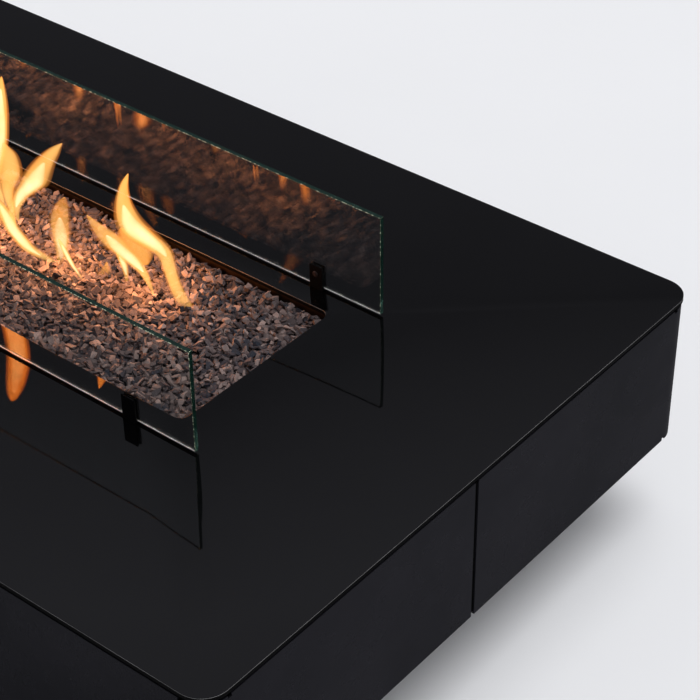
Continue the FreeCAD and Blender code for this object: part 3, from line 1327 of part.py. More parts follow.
def on_both_sides(make_piece):
    """Near and far copies of a piece at each clip place."""
    far = [make_piece(x) for x in (-CLIP_X, CLIP_X)]
    near = [piece.mirror(Vector(0, 0, 0), Y_AXIS) for piece in far]
    return near, far


def build_body():
    """Top plate, shells and floor pan."""
    near_shell, far_shell = make_shells()
    export("top_plate", [make_top_plate()])
    export("shell_near", [near_shell])
    export("shell_far", [far_shell])
    export("seam_plates", make_seam_plates())
    export("floor_pan", [make_floor_pan()])
    export("top_spacers", make_top_spacers())
    export("flange_screws", make_flange_screws())


def build_frame():
    """Tube frame and plinth."""
    for name, side in (("near", -1), ("far", 1)):
        export("lower_rail_" + name, [make_long_rail(side, PAN_TOP)])
        upper = make_long_rail(side, UPPER_RAIL_BOTTOM)
        export("upper_rail_" + name, [drill_for_screws(upper)])
    export("lower_end_rails", make_end_rails(PAN_TOP))
    export("upper_end_rails", [drill_for_screws(rail) for rail in make_end_rails(UPPER_RAIL_BOTTOM)])
    export("corner_posts", make_corner_posts())
    bearer_starts = (-BEARER_INNER_X - RAIL_SIZE, BEARER_INNER_X)
    export("trough_bearers", [make_cross_tube(x0, UPPER_RAIL_BOTTOM) for x0 in bearer_starts])
    export("floor_bearers", make_floor_bearers())
    export("plinth_long_panels", make_plinth_long_panels())
    export("plinth_end_panels", make_plinth_end_panels())
    export("plinth_bolts", make_plinth_bolts())
    export("foot_pads", make_foot_pads())


def build_burner():
    """Tray, burner, gravel and pilot assembly."""
    export("burner_tray", [make_burner_tray()])
    export("heat_shield", [make_heat_shield()])
    export("burner_tube_near", [make_burner_tube(-1)])
    export("burner_tube_far", [make_burner_tube(1)])
    export("burner_crossover", [make_burner_crossover()])
    export("burner_saddles", make_burner_saddles())
    export("feed_elbow", [make_feed_elbow()])
    export("gravel_bed", [make_gravel_bed()])
    export("lava_stones", make_lava_stones())
    export("pilot_bracket", [make_pilot_bracket()])
    export("pilot_burner", [make_pilot_burner()])
    export("spark_electrode", [make_spark_electrode()])
    export("thermocouple", [make_thermocouple()])
    export("pilot_tube", [make_pilot_tube()])
    export("igniter_lead", [make_igniter_lead()])


def build_gas_controls():
    """Inlet, pipes, valve, knob and igniter."""
    export("gas_inlet", [make_gas_inlet()])
    export("inlet_pipe", [make_inlet_pipe()])
    export("burner_pipe", [make_burner_pipe()])
    export("gas_valve", [make_gas_valve()])
    export("spindle_collar", [make_spindle_collar()])
    export("valve_spindle", [make_valve_spindle()])
    export("control_knob", [make_control_knob()])
    export("igniter_body", [make_igniter_body()])
    export("igniter_button", [make_igniter_button()])
    export("bulkhead_nuts", make_bulkhead_nuts())
    export("control_panel", [make_control_panel()])


def build_door():
    """Service door, its pivots and its catch."""
    export("service_door", [make_service_door()])
    export("hinge_brackets", make_hinge_brackets())
    export("hinge_pins", make_hinge_pins())
    export("hinge_bushes", make_hinge_bushes())
    export("door_strike", [make_door_strike()])
    export("door_magnet", [make_door_magnet()])


def build_glass():
    """Panes, clips, pads and their fasteners."""
    pane = make_glass_pane()
    export("glass_pane_far", [pane])
    export("glass_pane_near", [pane.mirror(Vector(0, 0, 0), Y_AXIS)])
    near_clips, far_clips = on_both_sides(make_clip)
    export("glass_clips_near", near_clips)
    export("glass_clips_far", far_clips)
    for name, make_piece in (
        ("clip_pads", make_clip_pad),
        ("clamp_screws", make_clamp_screw),
        ("clip_nuts", make_clip_nut),
    ):
        near, far = on_both_sides(make_piece)
        export(name, near + far)


os.makedirs("parts", exist_ok=True)
build_body()
build_frame()
build_burner()
build_gas_controls()
build_door()
build_glass()
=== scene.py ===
import logging
import math
import random
from dataclasses import dataclass, field, replace
from enum import Enum
from typing import ClassVar

import bpy
from mathutils import Matrix, Vector


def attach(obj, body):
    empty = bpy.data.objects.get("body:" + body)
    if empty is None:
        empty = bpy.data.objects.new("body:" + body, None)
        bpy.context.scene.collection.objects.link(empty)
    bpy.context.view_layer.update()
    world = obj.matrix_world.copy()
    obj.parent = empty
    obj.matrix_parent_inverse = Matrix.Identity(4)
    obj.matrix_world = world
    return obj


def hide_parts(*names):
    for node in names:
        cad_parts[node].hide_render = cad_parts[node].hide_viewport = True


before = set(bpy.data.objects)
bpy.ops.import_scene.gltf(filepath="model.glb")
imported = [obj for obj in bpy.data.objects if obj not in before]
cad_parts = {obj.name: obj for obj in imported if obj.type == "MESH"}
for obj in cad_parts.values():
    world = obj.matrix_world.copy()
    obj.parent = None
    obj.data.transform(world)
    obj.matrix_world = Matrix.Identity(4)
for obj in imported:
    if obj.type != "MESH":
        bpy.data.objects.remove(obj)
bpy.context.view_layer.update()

LOG = logging.getLogger("fire_table")

Colour = tuple[float, float, float]
Triple = tuple[float, float, float]
Station = tuple[float, float, float, float]
Socket = bpy.types.NodeSocket
Inputs = dict[str | int, Socket | float | tuple[float, ...]]

TABLE_BODY = "table"
VIEW_AZIMUTH = 39.37
GLASS_IOR = 1.5
MM_PER_METRE = 1000


# Helpers for nodes


class Graph:
    """Adds and joins nodes in one node tree."""

    def __init__(self, tree: bpy.types.NodeTree) -> None:
        """Takes the node tree of a material, a world or a group."""
        self.tree = tree
        self.column = 0

    def add(self, kind: str, inputs: Inputs | None = None, **settings: object) -> bpy.types.Node:
        """Adds a node.

        Args:
            kind: the node's type name.
            inputs: what goes into its inputs, by their names or numbers.
            settings: properties to set on it.

        Returns:
            The new node.
        """
        node = self.tree.nodes.new(kind)
        self.column += 1
        node.location = (180 * self.column, 0)
        for name, value in settings.items():
            setattr(node, name, value)
        self.feed(node, inputs or {})
        return node

    def feed(self, node: bpy.types.Node, inputs: Inputs) -> None:
        """Joins sockets to a node's inputs and sets plain values on them.

        Args:
            node: the node to feed.
            inputs: a socket or a value for each input, by its name or number.
        """
        for name, value in inputs.items():
            if isinstance(value, Socket):
                self.tree.links.new(value, node.inputs[name])
            else:
                node.inputs[name].default_value = value

    def math(self, operation: str, first: Socket | float, second: Socket | float) -> Socket:
        """Gives the result of a math node with two inputs."""
        return self.add("ShaderNodeMath", {0: first, 1: second}, operation=operation).outputs[0]

    def weigh(self, first: Socket, share: float, second: Socket, other_share: float) -> Socket:
        """Gives the sum of two values, each times its share."""
        part = self.math("MULTIPLY", first, share)
        return self.math("ADD", part, self.math("MULTIPLY", second, other_share))

    def noise(self, vector: Socket, scale: Socket | float, detail: float = 4.0, distortion: float = 0.0) -> Socket:
        """Gives grey noise centred on one half, with roughly scale cells per metre."""
        inputs = {"Vector": vector, "Scale": scale, "Detail": detail, "Distortion": distortion}
        return self.add("ShaderNodeTexNoise", inputs).outputs["Fac"]

    def cells(self, vector: Socket, scale: Socket | float, output: str = "Distance") -> Socket:
        """Gives one output of a cell pattern."""
        return self.add("ShaderNodeTexVoronoi", {"Vector": vector, "Scale": scale}).outputs[output]

    def ramp(self, value: Socket, *stops: tuple[float, Colour]) -> Socket:
        """Turns a value into a colour.

        Args:
            value: the grey input.
            stops: places from 0 to 1, each with its colour.

        Returns:
            The colour output.
        """
        node = self.add("ShaderNodeValToRGB", {"Fac": value})
        elements = node.color_ramp.elements
        while len(elements) < len(stops):
            elements.new(0.5)
        for element, (place, colour) in zip(elements, stops):
            element.position = place
            element.color = (*colour, 1.0)
        return node.outputs["Color"]

    def remap(self, value: Socket, low: float, high: float, start: float = 0.3, end: float = 0.7) -> Socket:
        """Maps the range from start to end onto low to high, without going past them."""
        inputs = {"Value": value, "From Min": start, "From Max": end, "To Min": low, "To Max": high}
        return self.add("ShaderNodeMapRange", inputs).outputs["Result"]

    def mix(self, share: Socket, first: Socket | tuple[float, ...], second: Socket | tuple[float, ...],
            blend: str = "MIX") -> Socket:
        """Gives the first colour, changed towards the blend with the second as the share rises."""
        inputs = {"Factor": share, "A": first, "B": second}
        return self.add("ShaderNodeMix", inputs, data_type="RGBA", blend_type=blend).outputs["Result"]

    def stretched(self, vector: Socket, scale: Triple) -> Socket:
        """Gives coordinates stretched along the axes."""
        return self.add("ShaderNodeMapping", {"Vector": vector, "Scale": scale}).outputs["Vector"]

    def bump(self, height: Socket, depth: float, strength: float = 1.0) -> Socket:
        """Gives the normal of a relief whose full range is depth metres high."""
        inputs = {"Height": height, "Distance": depth, "Strength": strength}
        return self.add("ShaderNodeBump", inputs).outputs["Normal"]

    def effect(self, tree: bpy.types.NodeTree, vector: Socket, scale: float) -> bpy.types.NodeOutputs:
        """Places a shared effect and gives its outputs."""
        return self.add("ShaderNodeGroup", {"Vector": vector, "Scale": scale}, node_tree=tree).outputs

    def in_mirror(self) -> Socket:
        """Gives 1 on a ray that some surface has mirrored, and 0 on all others."""
        return self.math("MINIMUM", self.add("ShaderNodeLightPath").outputs["Glossy Depth"], 1.0)


class Surface(Graph):
    """The nodes of one material, around its shader."""

    def __init__(self, name: str) -> None:
        """Makes an empty material.

        Args:
            name: the material's name.
        """
        self.material = bpy.data.materials.new(name)
        self.material.use_nodes = True
        super().__init__(self.material.node_tree)
        self.where = self.add("ShaderNodeTexCoord").outputs["Object"]

    def height(self) -> Socket:
        """Gives the height above the floor."""
        return self.add("ShaderNodeSeparateXYZ", {0: self.where}).outputs["Z"]

    def shade(self, inputs: Inputs) -> bpy.types.Material:
        """Feeds the shader and gives the finished material."""
        self.feed(self.tree.nodes["Principled BSDF"], inputs)
        return self.material


class EffectGroups:
    """Surface effects that several finishes share, each built once as a node group."""

    def __init__(self) -> None:
        """Builds the three groups."""
        self.grain = self._powder_grain()
        self.smudge = self._smudges()
        self.brush = self._brush_lines()

    def _start(self, name: str, scale: float, *outputs: str) -> tuple[Graph, Socket, Socket, bpy.types.Node]:
        """Starts a group that takes coordinates and a scale.

        Args:
            name: the group's name.
            scale: the scale's usual value.
            outputs: names of its number outputs.

        Returns:
            The graph, the coordinates, the scale and the group's output node.
        """
        tree = bpy.data.node_groups.new(name, "ShaderNodeTree")
        tree.interface.new_socket("Vector", in_out="INPUT", socket_type="NodeSocketVector")
        usual = tree.interface.new_socket("Scale", in_out="INPUT", socket_type="NodeSocketFloat")
        usual.default_value = scale
        for label in outputs:
            tree.interface.new_socket(label, in_out="OUTPUT", socket_type="NodeSocketFloat")
        graph = Graph(tree)
        start = graph.add("NodeGroupInput").outputs
        return graph, start["Vector"], start["Scale"], graph.add("NodeGroupOutput")

    def _powder_grain(self) -> bpy.types.NodeTree:
        """Fine orange peel and speckle of a sprayed coat.

        Returns:
            The group, which puts out Height and Tone.
        """
        graph, where, scale, end = self._start("powder_grain", 900.0, "Height", "Tone")
        peel = graph.noise(where, scale, 3.0)
        drift = graph.math("MULTIPLY", graph.noise(where, 6.0, 3.0), peel)
        height = graph.weigh(peel, 0.7, graph.cells(where, scale), 0.3)
        graph.feed(end, {"Height": height, "Tone": graph.math("MULTIPLY", drift, 2.0)})
        return graph.tree

    def _smudges(self) -> bpy.types.NodeTree:
        """Wiped marks and faint handling smears that change the gloss.

        Returns:
            The group, which puts out Mask.
        """
        graph, where, scale, end = self._start("wiped_smudges", 5.0, "Mask")
        wide = graph.noise(where, scale, 5.0, 1.2)
        fine = graph.noise(graph.stretched(where, (3.0, 0.7, 1.0)), 30.0)
        graph.feed(end, {"Mask": graph.remap(graph.math("MULTIPLY", wide, fine), 0.0, 1.0, 0.18, 0.42)})
        return graph.tree

    def _brush_lines(self) -> bpy.types.NodeTree:
        """Fine parallel lines of rolled or brushed metal, long along X.

        Returns:
            The group, which puts out Height and Tone.
        """
        graph, where, scale, end = self._start("brush_lines", 60.0, "Height", "Tone")
        long_way = graph.stretched(where, (0.04, 1.0, 1.0))
        lines = graph.noise(long_way, graph.math("MULTIPLY", scale, 20.0), 3.0)
        patches = graph.noise(where, scale, 2.0)
        graph.feed(end, {"Height": lines, "Tone": graph.weigh(lines, 0.6, patches, 0.4)})
        return graph.tree


EFFECTS = EffectGroups()


# Finishes


@dataclass(frozen=True)
class Finish:
    """A surface finish that makes one material."""

    name: str
    tint: Colour
    second: Colour

    def material(self) -> bpy.types.Material:
        """Makes the material. Each finish fills this in."""
        raise NotImplementedError


@dataclass(frozen=True)
class Skin(Finish):
    """A finish whose tone and relief follow a fine pattern, and whose gloss follows wiped marks."""

    smooth: float = 0.3
    rough: float = 0.42
    scale: float = 900.0
    depth: float = 0.00002
    shine: float = 0.5
    pattern: ClassVar[bpy.types.NodeTree] = EFFECTS.grain
    smudges: ClassVar[float] = 5.0
    spread: ClassVar[float] = 0.2
    metallic: ClassVar[float] = 0.0

    def material(self) -> bpy.types.Material:
        """Makes the skin.

        Returns:
            The material.
        """
        nodes = Surface(self.name)
        pattern = nodes.effect(self.pattern, nodes.where, self.scale)
        smudge = nodes.effect(EFFECTS.smudge, nodes.where, self.smudges)
        stops = ((0.5 - self.spread, self.tint), (0.5 + self.spread, self.second))
        return nodes.shade({
            "Base Color": nodes.ramp(pattern["Tone"], *stops),
            "Roughness": nodes.remap(smudge["Mask"], self.smooth, self.rough, 0.0, 1.0),
            "Normal": nodes.bump(pattern["Height"], self.depth),
            "Specular IOR Level": self.shine,
            "Metallic": self.metallic,
        })


@dataclass(frozen=True)
class Coat(Skin):
    """Sprayed coat on metal, from mirror gloss to fine texture."""


@dataclass(frozen=True)
class Metal(Skin):
    """Bare metal with brush lines and a tone that drifts."""

    smooth: float = 0.25
    rough: float = 0.45
    scale: float = 60.0
    depth: float = 0.00001
    pattern: ClassVar[bpy.types.NodeTree] = EFFECTS.brush
    smudges: ClassVar[float] = 12.0
    spread: ClassVar[float] = 0.15
    metallic: ClassVar[float] = 1.0


@dataclass(frozen=True)
class Moulded(Skin):
    """Moulded plastic, rubber or ceramic with a fine skin."""

    smooth: float = 0.45
    rough: float = 0.65
    scale: float = 1400.0
    depth: float = 0.00003
    smudges: ClassVar[float] = 20.0
    spread: ClassVar[float] = 0.25


@dataclass(frozen=True)
class PaintedHighlightEdge(Finish):
    """Dark cut edge of a plate with a thin painted highlight along its upper lip, in place of the glint on the
    arris.
    """

    lip: float = 0.3391
    blend: float = 0.0002

    def material(self) -> bpy.types.Material:
        """Makes the edge.

        Returns:
            The material.
        """
        nodes = Surface(self.name)
        # painted highlight: a pale band at the lip's height, broken up by noise, standing in for the glint along
        # the arris
        line = nodes.remap(nodes.height(), 0.0, 1.0, self.lip - self.blend, self.lip + self.blend)
        painted_highlight = nodes.math("MULTIPLY", line, nodes.remap(nodes.noise(nodes.where, 25.0), 0.55, 1.0))
        grain = nodes.effect(EFFECTS.grain, nodes.where, 900.0)
        return nodes.shade({
            "Base Color": nodes.ramp(painted_highlight, (0.0, self.tint), (1.0, self.second)),
            "Roughness": nodes.remap(grain["Tone"], 0.5, 0.7),
            "Normal": nodes.bump(grain["Height"], 0.00001),
            "Specular IOR Level": 0.12,
        })


@dataclass(frozen=True)
class ZincSheet(Finish):
    """Zinc-coated sheet with its flaky pattern."""

    def material(self) -> bpy.types.Material:
        """Makes the sheet.

        Returns:
            The material.
        """
        nodes = Surface(self.name)
        flakes = nodes.cells(nodes.where, 90.0, "Color")
        mixed = nodes.weigh(flakes, 0.6, nodes.noise(nodes.where, 14.0), 0.4)
        return nodes.shade({
            "Base Color": nodes.ramp(mixed, (0.2, self.tint), (0.8, self.second)),
            "Roughness": nodes.remap(mixed, 0.3, 0.55, 0.2, 0.8),
            "Normal": nodes.bump(mixed, 0.00002),
            "Metallic": 0.9,
        })


@dataclass(frozen=True)
class HeatedSteel(Finish):
    """Stainless sheet with straw, brown and blue heat tints."""

    brown: Colour = (0.026, 0.014, 0.008)
    blue: Colour = (0.02, 0.02, 0.026)

    def material(self) -> bpy.types.Material:
        """Makes the steel.

        Returns:
            The material.
        """
        nodes = Surface(self.name)
        brush = nodes.effect(EFFECTS.brush, nodes.where, 50.0)
        mixed = nodes.weigh(nodes.noise(nodes.where, 9.0, 5.0), 0.7, brush["Tone"], 0.3)
        stops = ((0.3, self.tint), (0.45, self.second), (0.58, self.brown), (0.7, self.blue))
        return nodes.shade({
            "Base Color": nodes.ramp(mixed, *stops),
            "Roughness": nodes.remap(mixed, 0.32, 0.55),
            "Normal": nodes.bump(brush["Height"], 0.00001),
            "Metallic": 0.45,
        })


@dataclass(frozen=True)
class PaneGlass(Finish):
    """Clear float glass with a green body and faint wipe marks."""

    def material(self) -> bpy.types.Material:
        """Makes the glass.

        Returns:
            The material.
        """
        nodes = Surface(self.name)
        marks = nodes.effect(EFFECTS.smudge, nodes.where, 7.0)["Mask"]
        return nodes.shade({
            "Base Color": nodes.ramp(marks, (0.0, self.tint), (1.0, self.second)),
            "Roughness": nodes.remap(marks, 0.0, 0.006, 0.0, 1.0),
            "Transmission Weight": 1.0,
            "IOR": GLASS_IOR,
        })


@dataclass(frozen=True)
class GroundEdge(Finish):
    """Ground edge of a glass pane, green where it is clear and pale where it is chipped."""

    clear: float = 0.6
    chips: float = 220.0
    share: float = 0.18

    def material(self) -> bpy.types.Material:
        """Makes the edge.

        Returns:
            The material.
        """
        nodes = Surface(self.name)
        spots = nodes.cells(nodes.where, self.chips)
        chipped = nodes.remap(spots, 1.0, 0.0, self.share, self.share + 0.12)
        drift = nodes.noise(nodes.where, 60.0, 3.0)
        lighter = tuple(value * 1.6 for value in self.tint)
        body = nodes.ramp(drift, (0.3, self.tint), (0.7, lighter))
        return nodes.shade({
            "Base Color": nodes.mix(chipped, body, (*self.second, 1.0)),
            "Roughness": nodes.remap(drift, 0.12, 0.3),
            "Normal": nodes.bump(chipped, 0.0001),
            "Transmission Weight": self.clear,
            "IOR": GLASS_IOR,
        })


@dataclass(frozen=True)
class LavaRock(Finish):
    """Broken lava rock with small pores. Each chip has its own tone in the attribute chip_tone."""

    third: Colour = (0.2, 0.2, 0.2)

    def material(self) -> bpy.types.Material:
        """Makes the rock.

        Returns:
            The material.
        """
        nodes = Surface(self.name)
        tone = nodes.add("ShaderNodeAttribute", attribute_name="chip_tone").outputs["Fac"]
        veins = nodes.noise(nodes.where, 260.0, 6.0)
        mixed = nodes.weigh(tone, 0.75, veins, 0.25)
        height = nodes.weigh(nodes.cells(nodes.where, 900.0), 0.5, veins, 1.0)
        return nodes.shade({
            "Base Color": nodes.ramp(mixed, (0.2, self.tint), (0.5, self.second), (0.8, self.third)),
            "Roughness": nodes.remap(veins, 0.55, 0.85),
            "Normal": nodes.bump(height, 0.0006, 0.8),
            "Specular IOR Level": 0.35,
        })


@dataclass(frozen=True)
class FlameGlow(Finish):
    """Glowing gas that adds its light: orange at the outline, pale in the middle, faint near the stones. Its
    reflection is painted: in mirrors its glow is several times brighter and its low part is hidden.
    """

    low: float = 0.322
    high: float = 0.5
    cover: float = 0.3
    strength: float = 3.0
    softness: float = 1.5
    # painted reflection: on mirrored rays the glow is multiplied by this colour, so the flames shine brighter in
    # the gloss top than in plain view
    mirrored: Colour = (7.5, 3.9, 2.0)

    def material(self) -> bpy.types.Material:
        """Makes the glow.

        Returns:
            The material.
        """
        nodes = Surface(self.name)
        height, in_mirror = nodes.height(), nodes.in_mirror()
        streaks = nodes.noise(nodes.stretched(nodes.where, (1.0, 1.0, 0.35)), 55.0, 2.0)
        facing = nodes.add("ShaderNodeLayerWeight", {"Blend": 0.5}).outputs["Facing"]
        rise = nodes.remap(height, 0.0, 0.25, self.low, self.high)
        mixed = nodes.math("ADD", nodes.math("MULTIPLY", facing, 0.55), rise)
        mixed = nodes.math("ADD", mixed, nodes.remap(streaks, 0.0, 0.4))
        glow = nodes.ramp(mixed, (0.1, self.tint), (0.8, self.second))
        thin = nodes.math("POWER", nodes.remap(facing, 1.0, 0.0, 0.02, 0.92), self.softness)
        fade = nodes.remap(height, 0.05, self.cover, self.low, self.low + 0.035)
        # painted reflection: on mirrored rays the flame fades in only between 30 and 70 mm above the stones
        high_part = nodes.remap(height, 0.0, 1.0, self.low + 0.03, self.low + 0.07)
        direct = nodes.math("SUBTRACT", 1.0, in_mirror)
        fade = nodes.math("MULTIPLY", fade, nodes.math("MAXIMUM", direct, high_part))
        dense = nodes.math("MULTIPLY", fade, nodes.remap(streaks, 0.8, 1.4))
        return nodes.shade({
            "Base Color": (0.0, 0.0, 0.0, 1.0),
            "Roughness": 1.0,
            "Specular IOR Level": 0.0,
            # painted reflection: mirrored rays get the boosted glow
            "Emission Color": nodes.mix(in_mirror, glow, (*self.mirrored, 1.0), "MULTIPLY"),
            "Emission Strength": self.strength,
            "Alpha": nodes.math("MULTIPLY", dense, thin),
        })


# Helpers for meshes


def clear_selection() -> None:
    """Leaves object mode with nothing selected."""
    if bpy.context.object and bpy.context.object.mode != "OBJECT":
        bpy.ops.object.mode_set(mode="OBJECT")
    bpy.ops.object.select_all(action="DESELECT")


def select_only(pieces: list[bpy.types.Object]) -> None:
    """Selects these pieces and makes the first one active.

    Args:
        pieces: the pieces to select.
    """
    clear_selection()
    for piece in pieces:
        piece.select_set(True)
    bpy.context.view_layer.objects.active = pieces[0]


def settle(piece: bpy.types.Object) -> None:
    """Moves a piece's place, turn and scale into its mesh.

    Args:
        piece: the piece to settle.
    """
    select_only([piece])
    bpy.ops.object.transform_apply(location=True, rotation=True, scale=True)


def join_pieces(pieces: list[bpy.types.Object], name: str) -> bpy.types.Object:
    """Joins pieces into one.

    Args:
        pieces: the pieces to join.
        name: the joined piece's name.

    Returns:
        The joined piece.
    """
    select_only(pieces)
    bpy.ops.object.join()
    whole = bpy.context.object
    whole.name = name
    settle(whole)
    return whole


def paint(piece: bpy.types.Object, material: bpy.types.Material) -> None:
    """Gives a piece one material.

    Args:
        piece: the piece to paint.
        material: its material.
    """
    if not piece.data.materials:
        piece.data.materials.append(material)
    for slot in piece.material_slots:
        slot.material = material


def round_over(node: str, angle: float = 35.0) -> None:
    """Shades a carried-over solid's round faces smooth and keeps its sharp edges.

    Args:
        node: the solid's name.
        angle: edges sharper than this stay sharp, in degrees.
    """
    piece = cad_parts[node]
    weld = piece.modifiers.new("weld", "WELD")
    weld.merge_threshold = 0.000001
    split = piece.modifiers.new("sharp_edges", "EDGE_SPLIT")
    split.split_angle = math.radians(angle)
    for polygon in piece.data.polygons:
        polygon.use_smooth = True


# The studio


@dataclass
class Studio:
    """Camera, floor, background and lamps.

    A broad lamp's row gives its name, power, width and two tilts, the last three in degrees.
    """

    camera_place: Triple = (1.7709, -1.4669, 1.8569)
    camera_azimuth: float = VIEW_AZIMUTH
    camera_fall: float = 37.0
    camera_roll: float = -0.53
    lens: float = 108.6
    sensor: float = 36.0
    far_clip: float = 500.0
    floor_size: float = 400.0
    floor_tint: Colour = (0.872, 0.878, 0.902)
    floor_mirrored: Colour = (0.2, 0.2, 0.2)
    pale: Colour = (0.862, 0.868, 0.89)
    haze: Colour = (0.36, 0.37, 0.39)
    dusk: Colour = (0.105, 0.105, 0.12)
    overhead: Colour = (0.28, 0.28, 0.315)
    fill: Colour = (0.3, 0.3, 0.309)
    broad_lamps: tuple[tuple[str, float, float, float, float], ...] = (
        ("overhead_light", 2.1, 50.0, -15.0, 12.0),
        ("side_light", 0.35, 40.0, -8.0, 62.0),
    )
    fire_lamps: tuple[Triple, ...] = (
        (-0.32, -0.03, 0.36), (-0.18, 0.03, 0.37), (-0.03, 0.0, 0.38),
        (0.10, 0.01, 0.37), (0.22, 0.03, 0.38),
    )
    fire_power: float = 1.2
    fire_size: float = 0.03
    fire_colour: Colour = (1.0, 0.4, 0.13)

    def build(self) -> None:
        """Makes the whole studio."""
        bpy.context.scene.view_settings.view_transform = "Standard"
        self.make_camera()
        self.make_floor()
        self.make_world()
        self.make_lamps()
        LOG.info("studio ready")

    def make_camera(self) -> None:
        """Places the camera at the viewing angle."""
        turn = math.radians(self.camera_azimuth)
        fall = math.radians(self.camera_fall)
        roll = math.radians(self.camera_roll)
        ahead = Vector((-math.sin(turn) * math.cos(fall), math.cos(turn) * math.cos(fall), -math.sin(fall)))
        level = Vector((math.cos(turn), math.sin(turn), 0.0))
        up = level.cross(ahead)
        right = level * math.cos(roll) + up * math.sin(roll)
        top = up * math.cos(roll) - level * math.sin(roll)
        place = Matrix((right, top, -ahead)).transposed().to_4x4()
        place.translation = Vector(self.camera_place)
        data = bpy.data.cameras.new("viewing_camera")
        data.lens = self.lens
        data.sensor_width = self.sensor
        data.clip_end = self.far_clip
        camera = bpy.data.objects.new("viewing_camera", data)
        bpy.context.scene.collection.objects.link(camera)
        camera.matrix_world = place
        bpy.context.scene.camera = camera

    def make_floor(self) -> None:
        """Lays the pale floor."""
        clear_selection()
        bpy.ops.mesh.primitive_plane_add(size=self.floor_size, location=(0, 0, 0))
        floor = bpy.context.object
        floor.name = "studio_floor"
        nodes = Surface("studio_floor")
        duller = tuple(value * 0.985 for value in self.floor_tint)
        tone = nodes.ramp(nodes.noise(nodes.where, 2.0, 3.0), (0.3, duller), (0.7, self.floor_tint))
        paint(floor, nodes.shade({
            "Base Color": nodes.mix(nodes.in_mirror(), tone, (*self.floor_mirrored, 1.0), "MULTIPLY"),
            "Roughness": 0.8,
            "Specular IOR Level": 0.1,
        }))

    def make_world(self) -> None:
        """Makes a pale background in plain view, a sky for mirrors to show and an even fill light."""
        world = bpy.data.worlds.new("studio")
        bpy.context.scene.world = world
        world.use_nodes = True
        graph = Graph(world.node_tree)
        where = graph.add("ShaderNodeTexCoord").outputs["Generated"]
        rise = graph.add("ShaderNodeSeparateXYZ", {0: where}).outputs["Z"]
        sky = graph.ramp(rise, (0.12, self.haze), (0.36, self.dusk), (0.58, self.dusk), (0.72, self.overhead))
        in_mirror = graph.in_mirror()
        light = graph.mix(in_mirror, (*self.fill, 1.0), sky)
        ray = graph.add("ShaderNodeLightPath").outputs
        through_glass = graph.math("SUBTRACT", ray["Is Transmission Ray"], in_mirror)
        in_view = graph.math("MAXIMUM", ray["Is Camera Ray"], through_glass)
        colour = graph.mix(in_view, light, (*self.pale, 1.0))
        graph.feed(world.node_tree.nodes["Background"], {"Color": colour, "Strength": 1.0})

    def hang_lamp(self, name: str, kind: str, power: float) -> bpy.types.Object:
        """Hangs a lamp that mirrors don't show.

        Args:
            name: the lamp's name.
            kind: its type.
            power: its strength.

        Returns:
            The lamp.
        """
        lamp = bpy.data.objects.new(name, bpy.data.lights.new(name, kind))
        lamp.data.energy = power
        bpy.context.scene.collection.objects.link(lamp)
        lamp.visible_glossy = False
        return lamp

    def make_lamps(self) -> None:
        """Hangs the broad soft lamps and the small warm lights in the flames."""
        for name, power, width, tilt_x, tilt_y in self.broad_lamps:
            lamp = self.hang_lamp(name, "SUN", power)
            lamp.data.angle = math.radians(width)
            lamp.rotation_euler = (math.radians(tilt_x), math.radians(tilt_y), 0)
        for index, place in enumerate(self.fire_lamps):
            lamp = self.hang_lamp(f"fire_light_{index}", "POINT", self.fire_power)
            lamp.data.color = self.fire_colour
            lamp.data.shadow_soft_size = self.fire_size
            lamp.location = place
            lamp.visible_camera = False
            lamp.visible_transmission = False


# Carried-over solids and their finishes


